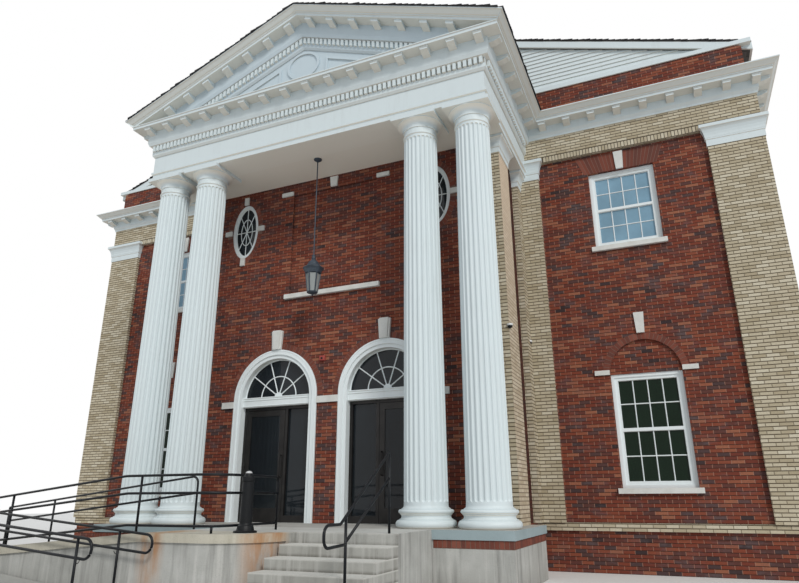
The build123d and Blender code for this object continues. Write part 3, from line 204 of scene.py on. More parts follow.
def bricks(look, along, up, side, width, height, joint):
    """Running bond: a number for each brick, its middle, 0 in the joints, and 1 in the upright ones."""
    row = look.math("FLOOR", look.math("DIVIDE", up, height))
    odd = look.math("ABSOLUTE", look.math("MODULO", row, 2.0))
    shifted = look.math("ADD", look.math("DIVIDE", along, width), look.times(odd, 0.5))
    column = look.math("FLOOR", shifted)
    u = look.times(look.math("FRACT", shifted), width)
    v = look.times(look.math("FRACT", look.math("DIVIDE", up, height)), height)
    near_u = look.math("MINIMUM", u, look.math("SUBTRACT", width, u))
    near_v = look.math("MINIMUM", v, look.math("SUBTRACT", height, v))
    edge = look.math("MINIMUM", look.times(near_u, 1.25), near_v)
    solid = look.span(edge, joint * 0.5 - 0.001, joint * 0.5 + 0.0025)
    upright = look.math("LESS_THAN", near_u, near_v)
    middle = look.join(look.times(column, width), look.times(row, height), side)
    return look.cell(look.join(column, row, side)), middle, solid, upright


def red_tone(look, number, middle):
    """Red bricks of many burns, darker and greyer ones gathered in small knots."""
    knot = look.noise(3.4, 2.0, 0.6, look.stretch(middle, (1.0, 1.4, 1.0)))
    drift = look.noise(0.45, 2.0, 0.5, middle)
    lean = look.math("ADD", look.times(look.math("SUBTRACT", knot, 0.5), 1.15),
                     look.times(look.math("SUBTRACT", drift, 0.5), 0.4))
    tone = look.math("ADD", look.math("ADD", look.times(number, 0.86), 0.14), lean)
    tone = look.ramp(look.math("MAXIMUM", tone, 0.0), *RED_STOPS)
    bloom = look.noise(3.0, 4.0, 0.62, look.stretch(look.here, (1.0, 1.0, 1.5)))
    share = look.times(look.span(bloom, 0.5, 0.66), look.span(number, 1.0, 0.1, 0.35, 1.0))
    return look.mix(look.times(share, 0.62), tone, (0.12, 0.098, 0.104))


def brick_look(name, buff=False):
    """Brick walls. In the raked joints the beds lie in shade and the upright joints catch light."""
    look = Look(name)
    along, up, side = wall_plane(look)
    x, y, z = look.split(look.here)
    if buff:
        up = look.math("SUBTRACT", up, 0.031)
        number, middle, solid, upright = bricks(look, along, up, side, 0.213, 0.067, 0.014)
        tone = look.ramp(number, *BUFF_STOPS)
        # Painted shade in the bed joints and painted light in the upright joints.
        joint = look.mix(look.times(upright, 0.6), (0.078, 0.06, 0.038), (0.3, 0.255, 0.185))
    else:
        number, middle, solid, upright = bricks(look, along, up, side, 0.2075, 0.0657, 0.0105)
        tone = red_tone(look, number, middle)
        # Painted shade in the bed joints and painted light in the upright joints.
        joint = look.mix(upright, (0.046, 0.024, 0.019), (0.33, 0.18, 0.13))
    mottle = look.noise(38.0, 4.0, 0.6)
    soot = (0.33, 0.275, 0.195) if buff else (0.075, 0.032, 0.026)
    tone = look.mix(look.span(mottle, 0.35, 0.75, 0.0, 0.34), tone, soot)
    colour = look.mix(solid, joint, tone)
    if buff:
        # Painted sunlight on the right side face of the right pier at the porch front, paler and warmer
        # towards the top.
        nx = look.split(look.normal)[0]
        painted_sun_flank = look.times(look.above(nx, 0.5), look.span(x, 3.6, 3.65), look.span(x, 3.85, 3.8))
        colour = look.tint(colour, (0.7, 0.56, 0.43), painted_sun_flank, look.span(y, FACE - 0.9, FACE - 1.1),
                           look.span(z, 4.0, 7.0, 0.25, 0.75))
    else:
        # Painted shade on the entrance wall under the porch ceiling, darker towards the top.
        aside = look.math("ABSOLUTE", x)
        colour = look.tint(colour, (0.06, 0.018, 0.016), look.span(aside, 3.6, 3.55),
                           look.span(y, FACE - 1.7, FACE - 1.8), look.span(z, 7.3, 8.2), 0.25)
        # Painted shade on the red side walls of the entrance block, in the narrow slot between pier and
        # respond.
        slot = look.times(look.math("LESS_THAN", aside, 3.8), look.above(aside, 3.595), look.above(z, 0.86))
        colour = look.tint(colour, (0.034, 0.014, 0.012), slot, look.math("LESS_THAN", y, FACE - 0.05), 0.75)
    grain = look.noise(160.0, 3.0, 0.6)
    rise = look.math("ADD", look.times(solid, 0.8), look.times(grain, 0.2))
    rough = look.span(grain, 0.3, 0.7, 0.82, 0.95)
    return look.finish(colour, rough, look.bump(rise, 0.006, 0.7), specular=0.15)


def loose_brick_look(name, stops, damp):
    """For bricks made one by one: each island of the mesh has its own tone."""
    look = Look(name)
    geometry = look.tree.nodes.new("ShaderNodeNewGeometry")
    tone = look.ramp(geometry.outputs["Random Per Island"], *stops)
    mottle = look.noise(38.0, 4.0, 0.6)
    tone = look.mix(look.span(mottle, 0.35, 0.75, 0.0, 0.28), tone, damp)
    grain = look.noise(160.0, 3.0, 0.6)
    rough = look.span(grain, 0.3, 0.7, 0.78, 0.92)
    return look.finish(tone, rough, look.bump(grain, 0.002, 0.6), specular=0.3)


def mortar_look(name="joint_mortar", low=(0.135, 0.082, 0.064), high=(0.235, 0.148, 0.116)):
    look = Look(name)
    grain = look.noise(90.0, 4.0, 0.6)
    colour = look.ramp(grain, (0.25, low), (0.75, high))
    return look.finish(colour, 0.93, look.bump(grain, 0.003, 0.6), specular=0.25)


def paint_look(name, white=(0.63, 0.705, 0.73), worn=(0.48, 0.52, 0.525), under=(0.7, 0.67, 0.6)):
    """White paint with faint rain streaks and patches of dirt, and on downward faces a painted warm
    reflection of the ground, brighter below 8.24 m.
    """
    look = Look(name)
    nz = look.split(look.normal)[2]
    streak = look.noise(9.0, 4.0, 0.62, look.stretch(look.here, (1.0, 1.0, 0.1)))
    cloud = look.noise(1.7, 3.0, 0.5)
    dirt = look.times(look.span(streak, 0.5, 0.8), look.span(cloud, 0.35, 0.75))
    colour = look.mix(look.times(dirt, 0.55), white, worn)
    # Painted reflected light: downward faces take the warm under colour, brighter below 8.24 m.
    z = look.split(look.here)[2]
    low = look.mix(look.span(z, 8.3, 8.24), under, tuple(min(1.0, c * 1.22) for c in under))
    colour = look.mix(look.span(nz, -0.35, -0.85), colour, low)
    brush = look.noise(120.0, 2.0, 0.5)
    rough = look.span(streak, 0.3, 0.8, 0.42, 0.62)
    return look.finish(colour, rough, look.bump(brush, 0.0012, 0.35), specular=0.4)


def stone_look():
    look = Look("pale_stone")
    cloud = look.noise(4.5, 5.0, 0.62)
    fleck = look.noise(130.0, 3.0, 0.6)
    colour = look.ramp(cloud, (0.25, (0.575, 0.58, 0.55)), (0.55, (0.67, 0.68, 0.66)),
                       (0.85, (0.73, 0.745, 0.725)))
    colour = look.mix(look.span(fleck, 0.52, 0.78, 0.0, 0.35), colour, (0.33, 0.31, 0.28))
    return look.finish(colour, 0.8, look.bump(fleck, 0.003, 0.5), specular=0.3)


def concrete_look():
    """Cast concrete: cloudy grey, darker runs down its faces, steps with painted shade on the risers and
    painted light on the treads and nosings, a pale coping and rust.
    """
    look = Look("concrete")
    x, y, z = look.split(look.here)
    cloud = look.noise(1.6, 5.0, 0.6)
    fine = look.noise(55.0, 4.0, 0.6)
    streak = look.noise(6.5, 4.0, 0.65, look.stretch(look.here, (1.0, 1.0, 0.08)))
    nz = look.split(look.normal)[2]
    upright = look.math("LESS_THAN", look.math("ABSOLUTE", nz), 0.5)
    level = look.above(nz, 0.5)
    colour = look.ramp(cloud, (0.22, (0.31, 0.312, 0.295)), (0.5, (0.42, 0.424, 0.405)),
                       (0.8, (0.52, 0.525, 0.505)))
    colour = look.tint(colour, (0.15, 0.148, 0.138), look.span(streak, 0.5, 0.74), upright, 0.62)
    colour = look.tint(colour, (0.17, 0.16, 0.14), look.span(z, 0.35, 0.0), look.span(cloud, 0.3, 0.6), 0.5)

    # The steps: risers painted darker as shade, darkest at the foot; treads and nosings painted lighter as
    # lit.
    flight = look.times(look.span(x, 1.14, 1.16), look.span(x, 2.8, 2.78),
                        look.span(y, FACE - 4.74, FACE - 4.76))
    share = look.math("FRACT", look.math("DIVIDE", look.math("SUBTRACT", 0.8505, z), STEP_RISE))
    riser = look.times(flight, upright)
    colour = look.tint(colour, (0.23, 0.215, 0.175), riser, 0.28)
    colour = look.tint(colour, (0.085, 0.077, 0.062), riser, look.span(share, 0.72, 0.97, 0.0, 0.62))
    worn = look.math("MAXIMUM", look.times(riser, look.span(share, 0.16, 0.05)), look.times(flight, level))
    colour = look.tint(colour, (0.64, 0.635, 0.6), worn, 0.62)

    # Paler level tops, and pale runs down the walls.
    colour = look.tint(colour, (0.64, 0.64, 0.61), level, look.span(z, 0.44, 0.46), 0.45)
    pale = look.noise(11.0, 3.0, 0.6, look.stretch(look.here, (1.0, 1.0, 0.05)))
    colour = look.tint(colour, (0.56, 0.555, 0.53), look.span(pale, 0.52, 0.7, 0.0, 0.6), upright)

    # The coping along the ramp, and the rust at the landing's corner.
    outer = look.span(y, FACE - 4.8, FACE - 5.0)
    foot = look.math("ADD", look.times(look.span(x, -5.3, -0.7), 0.4), 0.45 - 0.112)
    coping = look.times(look.above(z, foot), outer, look.math("LESS_THAN", x, 1.2))
    colour = look.tint(colour, (0.53, 0.49, 0.38), coping, 0.62)
    near = look.times(look.span(x, 0.8, 0.98), look.span(x, 1.165, 1.145))
    left = look.times(look.span(x, -0.72, -0.56), look.span(x, -0.2, -0.36))
    ragged = look.noise(6.0, 4.0, 0.65, look.stretch(look.here, (1.0, 1.0, 0.25)))
    colour = look.tint(colour, (0.4, 0.19, 0.07), look.math("MAXIMUM", near, left), outer,
                       look.span(z, -0.1, 0.55), look.span(ragged, 0.3, 0.6), 0.8)
    colour = look.tint(colour, (0.2, 0.2, 0.19), look.span(fine, 0.55, 0.8, 0.0, 0.45))
    return look.finish(colour, 0.88, look.bump(fine, 0.005, 0.55), specular=0.3)


def slab_look():
    """The porch floor: worn concrete to walk on, with pale painted edges."""
    look = Look("porch_slab")
    nz = look.split(look.normal)[2]
    top = look.span(nz, 0.4, 0.6)
    cloud = look.noise(2.4, 5.0, 0.6)
    fine = look.noise(60.0, 4.0, 0.6)
    walked = look.ramp(cloud, (0.25, (0.33, 0.325, 0.305)), (0.75, (0.47, 0.465, 0.44)))
    edge = look.ramp(cloud, (0.25, (0.27, 0.34, 0.36)), (0.75, (0.335, 0.415, 0.44)))
    colour = look.mix(top, edge, walked)
    colour = look.mix(look.span(fine, 0.55, 0.8, 0.0, 0.35), colour, (0.22, 0.22, 0.21))
    return look.finish(colour, 0.85, look.bump(fine, 0.003, 0.5), specular=0.3)


def post_look():
    """Black cast post with a bare metal head."""
    look = Look("door_post_metal")
    z = look.split(look.here)[2]
    head = look.above(z, 1.628)
    scuff = look.noise(60.0, 4.0, 0.7)
    black = look.mix(look.span(scuff, 0.3, 0.7), (0.004, 0.005, 0.006), (0.009, 0.01, 0.012))
    bare = look.mix(look.span(scuff, 0.3, 0.7), (0.42, 0.43, 0.44), (0.62, 0.63, 0.64))
    return look.finish(look.mix(head, black, bare), look.span(scuff, 0.3, 0.8, 0.38, 0.55),
                       look.bump(scuff, 0.001, 0.5), metal=0.0, specular=0.2)


def edge_look():
    """The dark cut ends of the shingles."""
    look = Look("shingle_ends")
    grit = look.noise(90.0, 3.0, 0.7)
    nz = look.split(look.normal)[2]
    colour = look.mix(look.span(grit, 0.35, 0.75), (0.016, 0.016, 0.018), (0.05, 0.048, 0.048))
    colour = look.mix(look.above(nz, 0.6), colour, (0.105, 0.096, 0.092))
    return look.finish(colour, 0.95, look.bump(grit, 0.003, 0.6), specular=0.1)


def shingle_look():
    """Mineral-faced shingles: tabs a third of a metre wide, each with its own grey-brown."""
    look = Look("roof_shingles")
    x, y, z = look.split(look.here)
    down = look.times(look.math("ABSOLUTE", x), hypot(1, PITCH))
    course = look.math("FLOOR", look.math("DIVIDE", down, SHINGLE))
    shift = look.cell(look.join(course, 3.0, 0.0))
    tab = look.math("ADD", look.math("DIVIDE", y, 0.3), shift)
    number = look.cell(look.join(look.math("FLOOR", tab), course, 1.0))
    inside = look.times(look.math("FRACT", tab), 0.3)
    near = look.math("MINIMUM", inside, look.math("SUBTRACT", 0.3, inside))
    slot = look.span(near, 0.002, 0.006)
    colour = look.ramp(number, (0.0, (0.075, 0.068, 0.062)), (0.5, (0.115, 0.106, 0.098)),
                       (1.0, (0.165, 0.152, 0.14)))
    grit = look.noise(260.0, 3.0, 0.7)
    colour = look.mix(look.span(grit, 0.35, 0.75, 0.0, 0.6), colour, (0.21, 0.2, 0.19))
    colour = look.mix(slot, (0.03, 0.028, 0.026), colour)
    rise = look.math("ADD", look.times(slot, 0.7), look.times(grit, 0.3))
    return look.finish(colour, 0.95, look.bump(rise, 0.004, 0.8), specular=0.2)


def glass_look(name, tint, clear, sky_reflection=None, shine=0.5):
    """Dark window glass. When a height and a sky colour are given, the panes above that height carry a
    painted reflection of a pale cloudy sky.
    """
    look = Look(name)
    wave = look.noise(2.2, 2.0, 0.5)
    colour = look.mix(look.span(wave, 0.3, 0.7, 0.0, 0.5), tint, tuple(c * 1.5 for c in tint))
    if sky_reflection is not None:
        # Painted reflection of a cloudy sky on the panes above the given height.
        high = look.above(look.split(look.here)[2], sky_reflection[0])
        cloud = look.noise(1.1, 4.0, 0.6)
        sky = look.mix(look.span(cloud, 0.35, 0.7), sky_reflection[1], tuple(c * 1.35 for c in sky_reflection[1]))
        colour = look.mix(high, colour, sky)
    look.put(look.shader.inputs["Alpha"], clear)
    ripple = look.noise(1.3, 1.0, 0.5)
    return look.finish(colour, 0.04, look.bump(ripple, 0.004, 0.25), specular=shine)


def metal_look(name, dark, light, rough, metal, speck=0.4, shine=0.4):
    """Painted or anodised metal: slight tone shifts, scuffs, and a fine grain."""
    look = Look(name)
    cloud = look.noise(5.0, 4.0, 0.6)
    scuff = look.noise(70.0, 4.0, 0.7)
    colour = look.mix(look.span(cloud, 0.3, 0.7), dark, light)
    bare = tuple(min(1.0, c * 2.2 + 0.02) for c in light)
    colour = look.mix(look.span(scuff, 0.62, 0.8, 0.0, speck), colour, bare)
    roughness = look.span(scuff, 0.3, 0.8, rough, min(1.0, rough + 0.18))
    return look.finish(colour, roughness, look.bump(scuff, 0.0006, 0.4), metal=metal, specular=shine)


RED = brick_look("red_brick")
BUFF = brick_look("buff_brick", buff=True)
RED_LOOSE = loose_brick_look("red_brick_cut", RED_CUT_STOPS, (0.1, 0.05, 0.04))
BUFF_LOOSE = loose_brick_look("buff_brick_cut", BUFF_STOPS, (0.3, 0.255, 0.19))
MORTAR = mortar_look()
WHITE = paint_look("white_paint")
STONE = stone_look()
CONCRETE = concrete_look()
SLAB = slab_look()
CEILING = paint_look("ceiling_paint", (0.76, 0.735, 0.66), (0.6, 0.57, 0.5), (0.69, 0.655, 0.58))
POST = post_look()
SHINGLES = shingle_look()
EDGES = edge_look()
FRAME = paint_look("window_paint", (0.76, 0.82, 0.84), (0.6, 0.64, 0.65), (0.64, 0.64, 0.61))
# The tympanum's paint: the white paint made darker and bluer, a painted shade with a painted sky reflection.
PEDIMENT_SHADE_PAINT = paint_look("pediment_painted_shade", (0.52, 0.61, 0.665), (0.44, 0.51, 0.55), (0.52, 0.53, 0.51))
# Dark paint for the painted shade behind the dentils.
DENTIL_SHADE = paint_look("dentil_painted_shade", (0.33, 0.325, 0.3), (0.25, 0.24, 0.215), (0.29, 0.28, 0.25))
PANES = glass_look("window_glass", (0.006, 0.016, 0.008), 0.93, (5.5, (0.195, 0.33, 0.435)), 0.14)
DOOR_PANES = glass_look("door_glass", (0.011, 0.014, 0.017), 0.88, shine=0.28)
FAN_PANES = glass_look("fanlight_glass", (0.012, 0.016, 0.02), 0.92, shine=0.3)
OPAL = glass_look("lantern_glass", (0.3, 0.325, 0.325), 0.8, shine=0.4)
# Dark mortar for the header course: painted shade in the raked joints and a painted shadow line under the
# bricks.
SHADED_RAKED_JOINT = mortar_look("raked_joint_painted_shade", (0.06, 0.048, 0.036), (0.12, 0.1, 0.076))
LANTERN = metal_look("lantern_metal", (0.022, 0.032, 0.046), (0.06, 0.08, 0.105), 0.4, 0.0, 0.4)
ALARM = metal_look("alarm_red", (0.27, 0.04, 0.032), (0.34, 0.06, 0.048), 0.42, 0.0, 0.15)
CASING = metal_look("white_casing", (0.64, 0.65, 0.65), (0.7, 0.71, 0.71), 0.3, 0.0, 0.0)
BRONZE = metal_look("dark_bronze_metal", (0.02, 0.019, 0.019), (0.034, 0.032, 0.031), 0.32, 0.55)
BLACK = metal_look("black_metal", (0.003, 0.004, 0.006), (0.006, 0.008, 0.011), 0.34, 0.0, 0.05, 0.25)


# Mesh code

class Shape:
    """Points and faces of one piece."""

    def __init__(self):
        self.points = []
        self.faces = []

    def loft(self, *rings, ends=True):
        """A skin through rings of points, one after another, each with the same count."""
        start = len(self.points)
        count = len(rings[0])
        last = start + (len(rings) - 1) * count
        for ring in rings:
            self.points += [tuple(p) for p in ring]
        for a in range(start, last, count):
            for i in range(count):
                j = (i + 1) % count
                self.faces.append((a + i, a + j, a + count + j, a + count + i))
        if ends:
            self.faces.append(tuple(range(start, start + count)))
            self.faces.append(tuple(range(last, last + count)))

    def pair(self, *rings):
        """A loft on both sides of the building's middle."""
        for s in (-1, 1):
            self.loft(*[[(s * x, y, z) for x, y, z in ring] for ring in rings])

    def box(self, place, u, out, z, cut=0.0):
        """A block with its outer edges cut, between two values of u, out and z on a wall."""

        def ring(o, c):
            a, b, low, high = u[0] + c, u[1] - c, z[0] + c, z[1] - c
            return [place(*p) for p in ((a, o, low), (b, o, low), (b, o, high), (a, o, high))]

        middle = [ring(out[1] - cut, 0.0)] if cut else []
        self.loft(ring(out[0], 0.0), *middle, ring(out[1], cut))

    def prism(self, place, outline, back, front, cut=0.0):
        """A plate with any outline of (u, z) points, its front edge drawn in by cut."""
        rings = [[place(u, o, z) for u, z in outline] for o in (back, front - cut)]
        if cut:
            cu = sum(p[0] for p in outline) / len(outline)
            cz = sum(p[1] for p in outline) / len(outline)
            rings.append([])
            for u, z in outline:
                k = 1 - cut / hypot(u - cu, z - cz)
                rings[-1].append(place(cu + (u - cu) * k, front, cz + (z - cz) * k))
        self.loft(*rings)

    def bar(self, place, path, half, back, front, closed=False):
        """A moulded strip along (u, z) points: flat at the back, narrower at the front."""
        rings = []
        n = len(path)
        mid = back + (front - back) * 0.45
        for i, (u, z) in enumerate(path):
            before = path[i - 1] if (i > 0 or closed) else path[i]
            after = path[(i + 1) % n] if (i < n - 1 or closed) else path[i]
            du = after[0] - before[0]
            dz = after[1] - before[1]
            turn = 1.0 / hypot(du, dz)
            if 0 < i < n - 1 or closed:
                a = Vector((u - before[0], z - before[1])).normalized()
                b = Vector((after[0] - u, after[1] - z)).normalized()
                turn /= max(0.5, sqrt((1 + a.dot(b)) / 2))
            rings.append([place(u - dz * s * turn, o, z + du * s * turn) for s, o in (
                (-half, back), (-half, mid), (-half * 0.35, front), (half * 0.35, front),
                (half, mid), (half, back))])
        if closed:
            self.loft(*rings, rings[0], ends=False)
        else:
            self.loft(*rings)

    def tube(self, path, radius, sides=12):
        """A round bar along points in space."""
        rings = []
        points = [Vector(p) for p in path]
        turns = [2 * pi * k / sides for k in range(sides)]
        for i, point in enumerate(points):
            along = (points[min(i + 1, len(points) - 1)] - points[max(i - 1, 0)]).normalized()
            guide = Vector((0, 0, 1)) if abs(along.z) < 0.9 else Vector((1, 0, 0))
            side = along.cross(guide).normalized()
            lift = side.cross(along)
            rings.append([point + (side * cos(t) + lift * sin(t)) * radius for t in turns])
        self.loft(*rings)

    def turned(self, x, y, profile, sides, base=0.0):
        """A body turned about an upright line, from (radius, height over base) points."""
        turns = [2 * pi * i / sides for i in range(sides)]
        self.loft(*[[(x + r * cos(t), y + r * sin(t), base + z) for t in turns] for r, z in profile])


def arc(u, z, wide, tall, first, last, steps):
    """Points along an arc about (u, z), between two angles given in half turns."""
    turns = [pi * t for t in spread(first, last, steps)]
    return [(u + wide * cos(t), z + tall * sin(t)) for t in turns]


def spread(first, last, steps):
    """Even steps from first to last, both included."""
    return [first + (last - first) * i / steps for i in range(steps + 1)]


def add_object(name, data):
    made = bpy.data.objects.new(name, data)
    bpy.context.scene.collection.objects.link(made)
    return made


def piece(name, shape, material, slot="white_paint", smooth=False, body="building"):
    """Makes one object of the shape, gives it its material, and lets it ride on its body."""
    mesh = bpy.data.meshes.new(name)
    mesh.from_pydata([(x, y + FACE, z) for x, y, z in shape.points], [], shape.faces)
    work = bmesh.new()
    work.from_mesh(mesh)
    bmesh.ops.remove_doubles(work, verts=work.verts, dist=1e-6)
    bmesh.ops.recalc_face_normals(work, faces=work.faces)
    work.to_mesh(mesh)
    work.free()
    made = add_object(name, mesh)
    mesh.materials.append(material)
    if smooth:
        mesh.shade_smooth()
    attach(made, body)
    return made


def faces(wide, ahead):
    """Placers for the front, the right and the left of a block that stands before the wall."""
    return (lambda u, out, z: (u, -ahead - out, z),
            lambda u, out, z: (wide + out, u, z),
            lambda u, out, z: (-wide - out, -u, z))


def rear(u, out, z):
    return (-u, DEPTH + out, z)


def left_side(u, out, z):
    return (-HALF - out, DEPTH - u, z)


front, right_side = faces(HALF, 0)[:2]
block_front = faces(HALF, BLOCK_OUT)[0]
WALLS = [(front, FRONT_BAYS), (rear, REAR_BAYS), (right_side, SIDE_BAYS), (left_side, SIDE_BAYS)]
BAYS = [(place, u) for place, row in WALLS for u in row]


# Windows

def sashes():
    """Each sash: its wall, middle, half width, foot, head, and for a lower one the window's foot."""
    for place, middle in BAYS:
        for width, foot, head in (LOWER, UPPER):
            half = width / 2 - 0.115
            centre = (foot + head) / 2
            yield place, middle, half, foot + 0.115, centre - 0.0275, foot
            yield place, middle, half, centre + 0.0275, head - 0.115, None


def sash_bars(shape):
    """The glazing bars of every sash: four panes wide and two high."""
    for place, middle, half, low, high, foot in sashes():
        for i in (-1, 0, 1):
            u = middle + i * half / 2
            shape.bar(place, [(u, low), (u, high)], 0.011, -0.131, -0.1165)
        z = (low + high) / 2
        shape.bar(place, [(middle - half, z), (middle + half, z)], 0.011, -0.131, -0.1175)


def sash_beads(shape):
    """The thin bead inside each sash, and the lift of each window."""
    for place, middle, half, low, high, foot in sashes():
        a = middle - half
        b = middle + half
        shape.bar(place, [(a, low), (b, low), (b, high), (a, high)], 0.008, -0.131, -0.1165, closed=True)
        if foot is not None:
            lift = (foot + 0.07, foot + 0.088)
            shape.box(place, (middle - 0.05, middle + 0.05), (-0.115, -0.088), lift, 0.004)


def splayed_bricks(bed, gauged):
    """Flat arches of splayed bricks on end over the upper windows, each side of the key stone."""
    foot = UPPER[2] + 0.004
    head = 8.345
    count = 10
    low_in, low_out = 0.076, UPPER[0] / 2 + 0.075
    high_in, high_out = 0.098, UPPER[0] / 2 + 0.235
    for place, middle in BAYS:
        for side in (-1, 1):

            def fan(a, b):
                """The outline between two shares of the half arch."""
                low_a, low_b = (middle + side * (low_in + (low_out - low_in) * t) for t in (a, b))
                high_a, high_b = (middle + side * (high_in + (high_out - high_in) * t) for t in (a, b))
                return [(low_a, foot), (low_b, foot), (high_b, head), (high_a, head)]

            for i in range(count):
                gauged.prism(place, fan((i + 0.07) / count, (i + 0.93) / count), 0.0, PROUD, 0.0015)
            bed.prism(place, fan(0, 1), -0.001, BED)


def ring_bricks(bed, gauged, place, u, z, inner, outer, turn, count, taller=0.0, gaps=()):
    """Bricks on end round an arch or an oval that is taller than wide, from 0 to the angle turn."""

    def sector(a, b):
        rim = [(inner, a), (inner, b), (outer, b), (outer, a)]
        return [(u + r * cos(t), z + (r + taller) * sin(t)) for r, t in rim]

    for i in range(count):
        a = turn * (i + 0.06) / count
        b = turn * (i + 0.94) / count
        mid = (a + b) / 2
        if not any(abs(atan2(sin(mid - g), cos(mid - g))) < w for g, w in gaps):
            gauged.prism(place, sector(a, b), 0.0, PROUD, 0.0015)
    for i in range(count * 2):
        bed.prism(place, sector(turn * i / (count * 2), turn * (i + 1) / (count * 2)), -0.001, BED)


def arches(bed, gauged):
    splayed_bricks(bed, gauged)
    top = pi / 2
    for place, middle in BAYS:
        ring_bricks(bed, gauged, place, middle, LOWER[2], 0.65, 0.775, pi, 30)
    for u in DOORS:
        ring_bricks(bed, gauged, block_front, u, SPRING, 1.004, 1.125, pi, 42, gaps=[(top, 0.09)])
    for u in OVALS:
        ring_bricks(bed, gauged, block_front, u, OVAL_Z, 0.356, 0.47, 2 * pi, 40, 0.312,
                    [(0.0, 0.16), (top, 0.09), (pi, 0.16), (-top, 0.09)])


def header_course(shape, joints):
    """The row of bricks on end at the foot of the buff band, and the dark raked joints round them, which
    reach below the bricks as a painted shadow line.
    """
    out = 0.082
    z0, z1 = 8.403, 8.52
    ends = 0.945 + 0.112
    wide = (HALF + out, 0.0)
    deep = (DEPTH / 2 + out, DEPTH / 2)
    for place, (half, middle) in ((front, wide), (rear, wide), (right_side, deep), (left_side, deep)):
        reach = half - ends
        count = round(2 * reach / 0.0663)
        pitch = 2 * reach / count
        strips = [(-reach, -4.25), (4.25, reach)] if place is front else [(-reach, reach)]
        # The dark joint strip runs 12 mm below the bricks: a painted shadow line.
        for a, b in strips:
            joints.box(place, (middle + a, middle + b), (out - 0.001, out + 0.0015), (8.391, z1 + 0.012))
        for i in range(count):
            a = middle - reach + pitch * i
            if place is not front or abs(a + pitch / 2) >= 4.28:
                shape.box(place, (a + 0.007, a + pitch - 0.007), (out - 0.001, out + 0.006), (z0, z1), 0.002)


def base_course(shape, joints):
    """The row of bricks on end under the porch floor, on the front and on both sides."""
    low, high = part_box("portico_base")
    wide = high.x
    ahead = FACE - low.y
    z0, z1 = 0.606, 0.714
    face, right, left = faces(wide, ahead)
    rows = ((face, 2.765, wide), (face, -wide, -0.715), (right, -ahead, -1.25), (left, 1.25, ahead))
    for place, a, b in rows:
        count = round((b - a) / 0.0715)
        pitch = (b - a) / count
        joints.box(place, (a, b), (-0.001, 0.002), (z0 - 0.008, z1 + 0.003))
        for i in range(count):
            u = a + pitch * i
            shape.box(place, (u + 0.005, u + pitch - 0.005), (-0.001, 0.006), (z0, z1), 0.002)


# Entrance

def fan_bars(shape):
    """The radial bars and half ring of the fanlights over the doors."""
    z = 3.3
    back, rim = -0.139, -0.124
    for u in DOORS:
        shape.bar(block_front, arc(u, z, 0.42, 0.42, 0, 1, 24), 0.012, back, rim)
        shape.prism(block_front, arc(u, z, 0.09, 0.09, 0, 1, 12), back, rim + 0.004, 0.004)
        for i in range(1, 5):
            angle = pi * i / 5
            c, s = cos(angle), sin(angle)
            reach = -0.04 * s + sqrt(0.82 ** 2 - (0.04 * c) ** 2)
            spoke = [(u + r * c, z + r * s) for r in (0.09, reach)]
            shape.bar(block_front, spoke, 0.012, back, rim)
        edge = arc(u, SPRING, 0.812, 0.812, -2 / 180, 182 / 180, 40)
        shape.bar(block_front, [(a, max(b, 3.302)) for a, b in edge], 0.014, back, rim)


def oval_bars(shape):
    """Spokes through the middle, the small inner oval and the rim of the two oval windows."""
    back, rim = -0.061, -0.046
    for u in OVALS:
        shape.bar(block_front, arc(u, OVAL_Z, 0.152, 0.323, 0, 2, 32)[:-1], 0.009, back, rim, closed=True)
        for i in range(4):
            spoke = arc(u, OVAL_Z, 0.276, 0.588, i / 4, i / 4 + 1, 1)
            shape.bar(block_front, spoke, 0.009, back, rim - 0.001 * i)
        edge = arc(u, OVAL_Z, 0.272, 0.584, 0, 2, 48)[:-1]
        shape.bar(block_front, edge, 0.01, back, rim + 0.002, closed=True)


def casing_beads(shape):
    """Thin mouldings on the door arches' casings and along the transoms."""
    for u in DOORS:
        for radius, half, rim in ((0.976, 0.01, 0.036), (0.9, 0.008, 0.034)):
            path = [(u - radius, 0.86), *arc(u, SPRING, radius, radius, 1, 0, 32), (u + radius, 0.86)]
            shape.bar(block_front, path, half, 0.029, rim)
        for z, half in ((3.287, 0.013), (3.24, 0.006), (3.12, 0.01)):
            shape.bar(block_front, [(u - 0.82, z), (u + 0.82, z)], half, -0.061, -0.046)


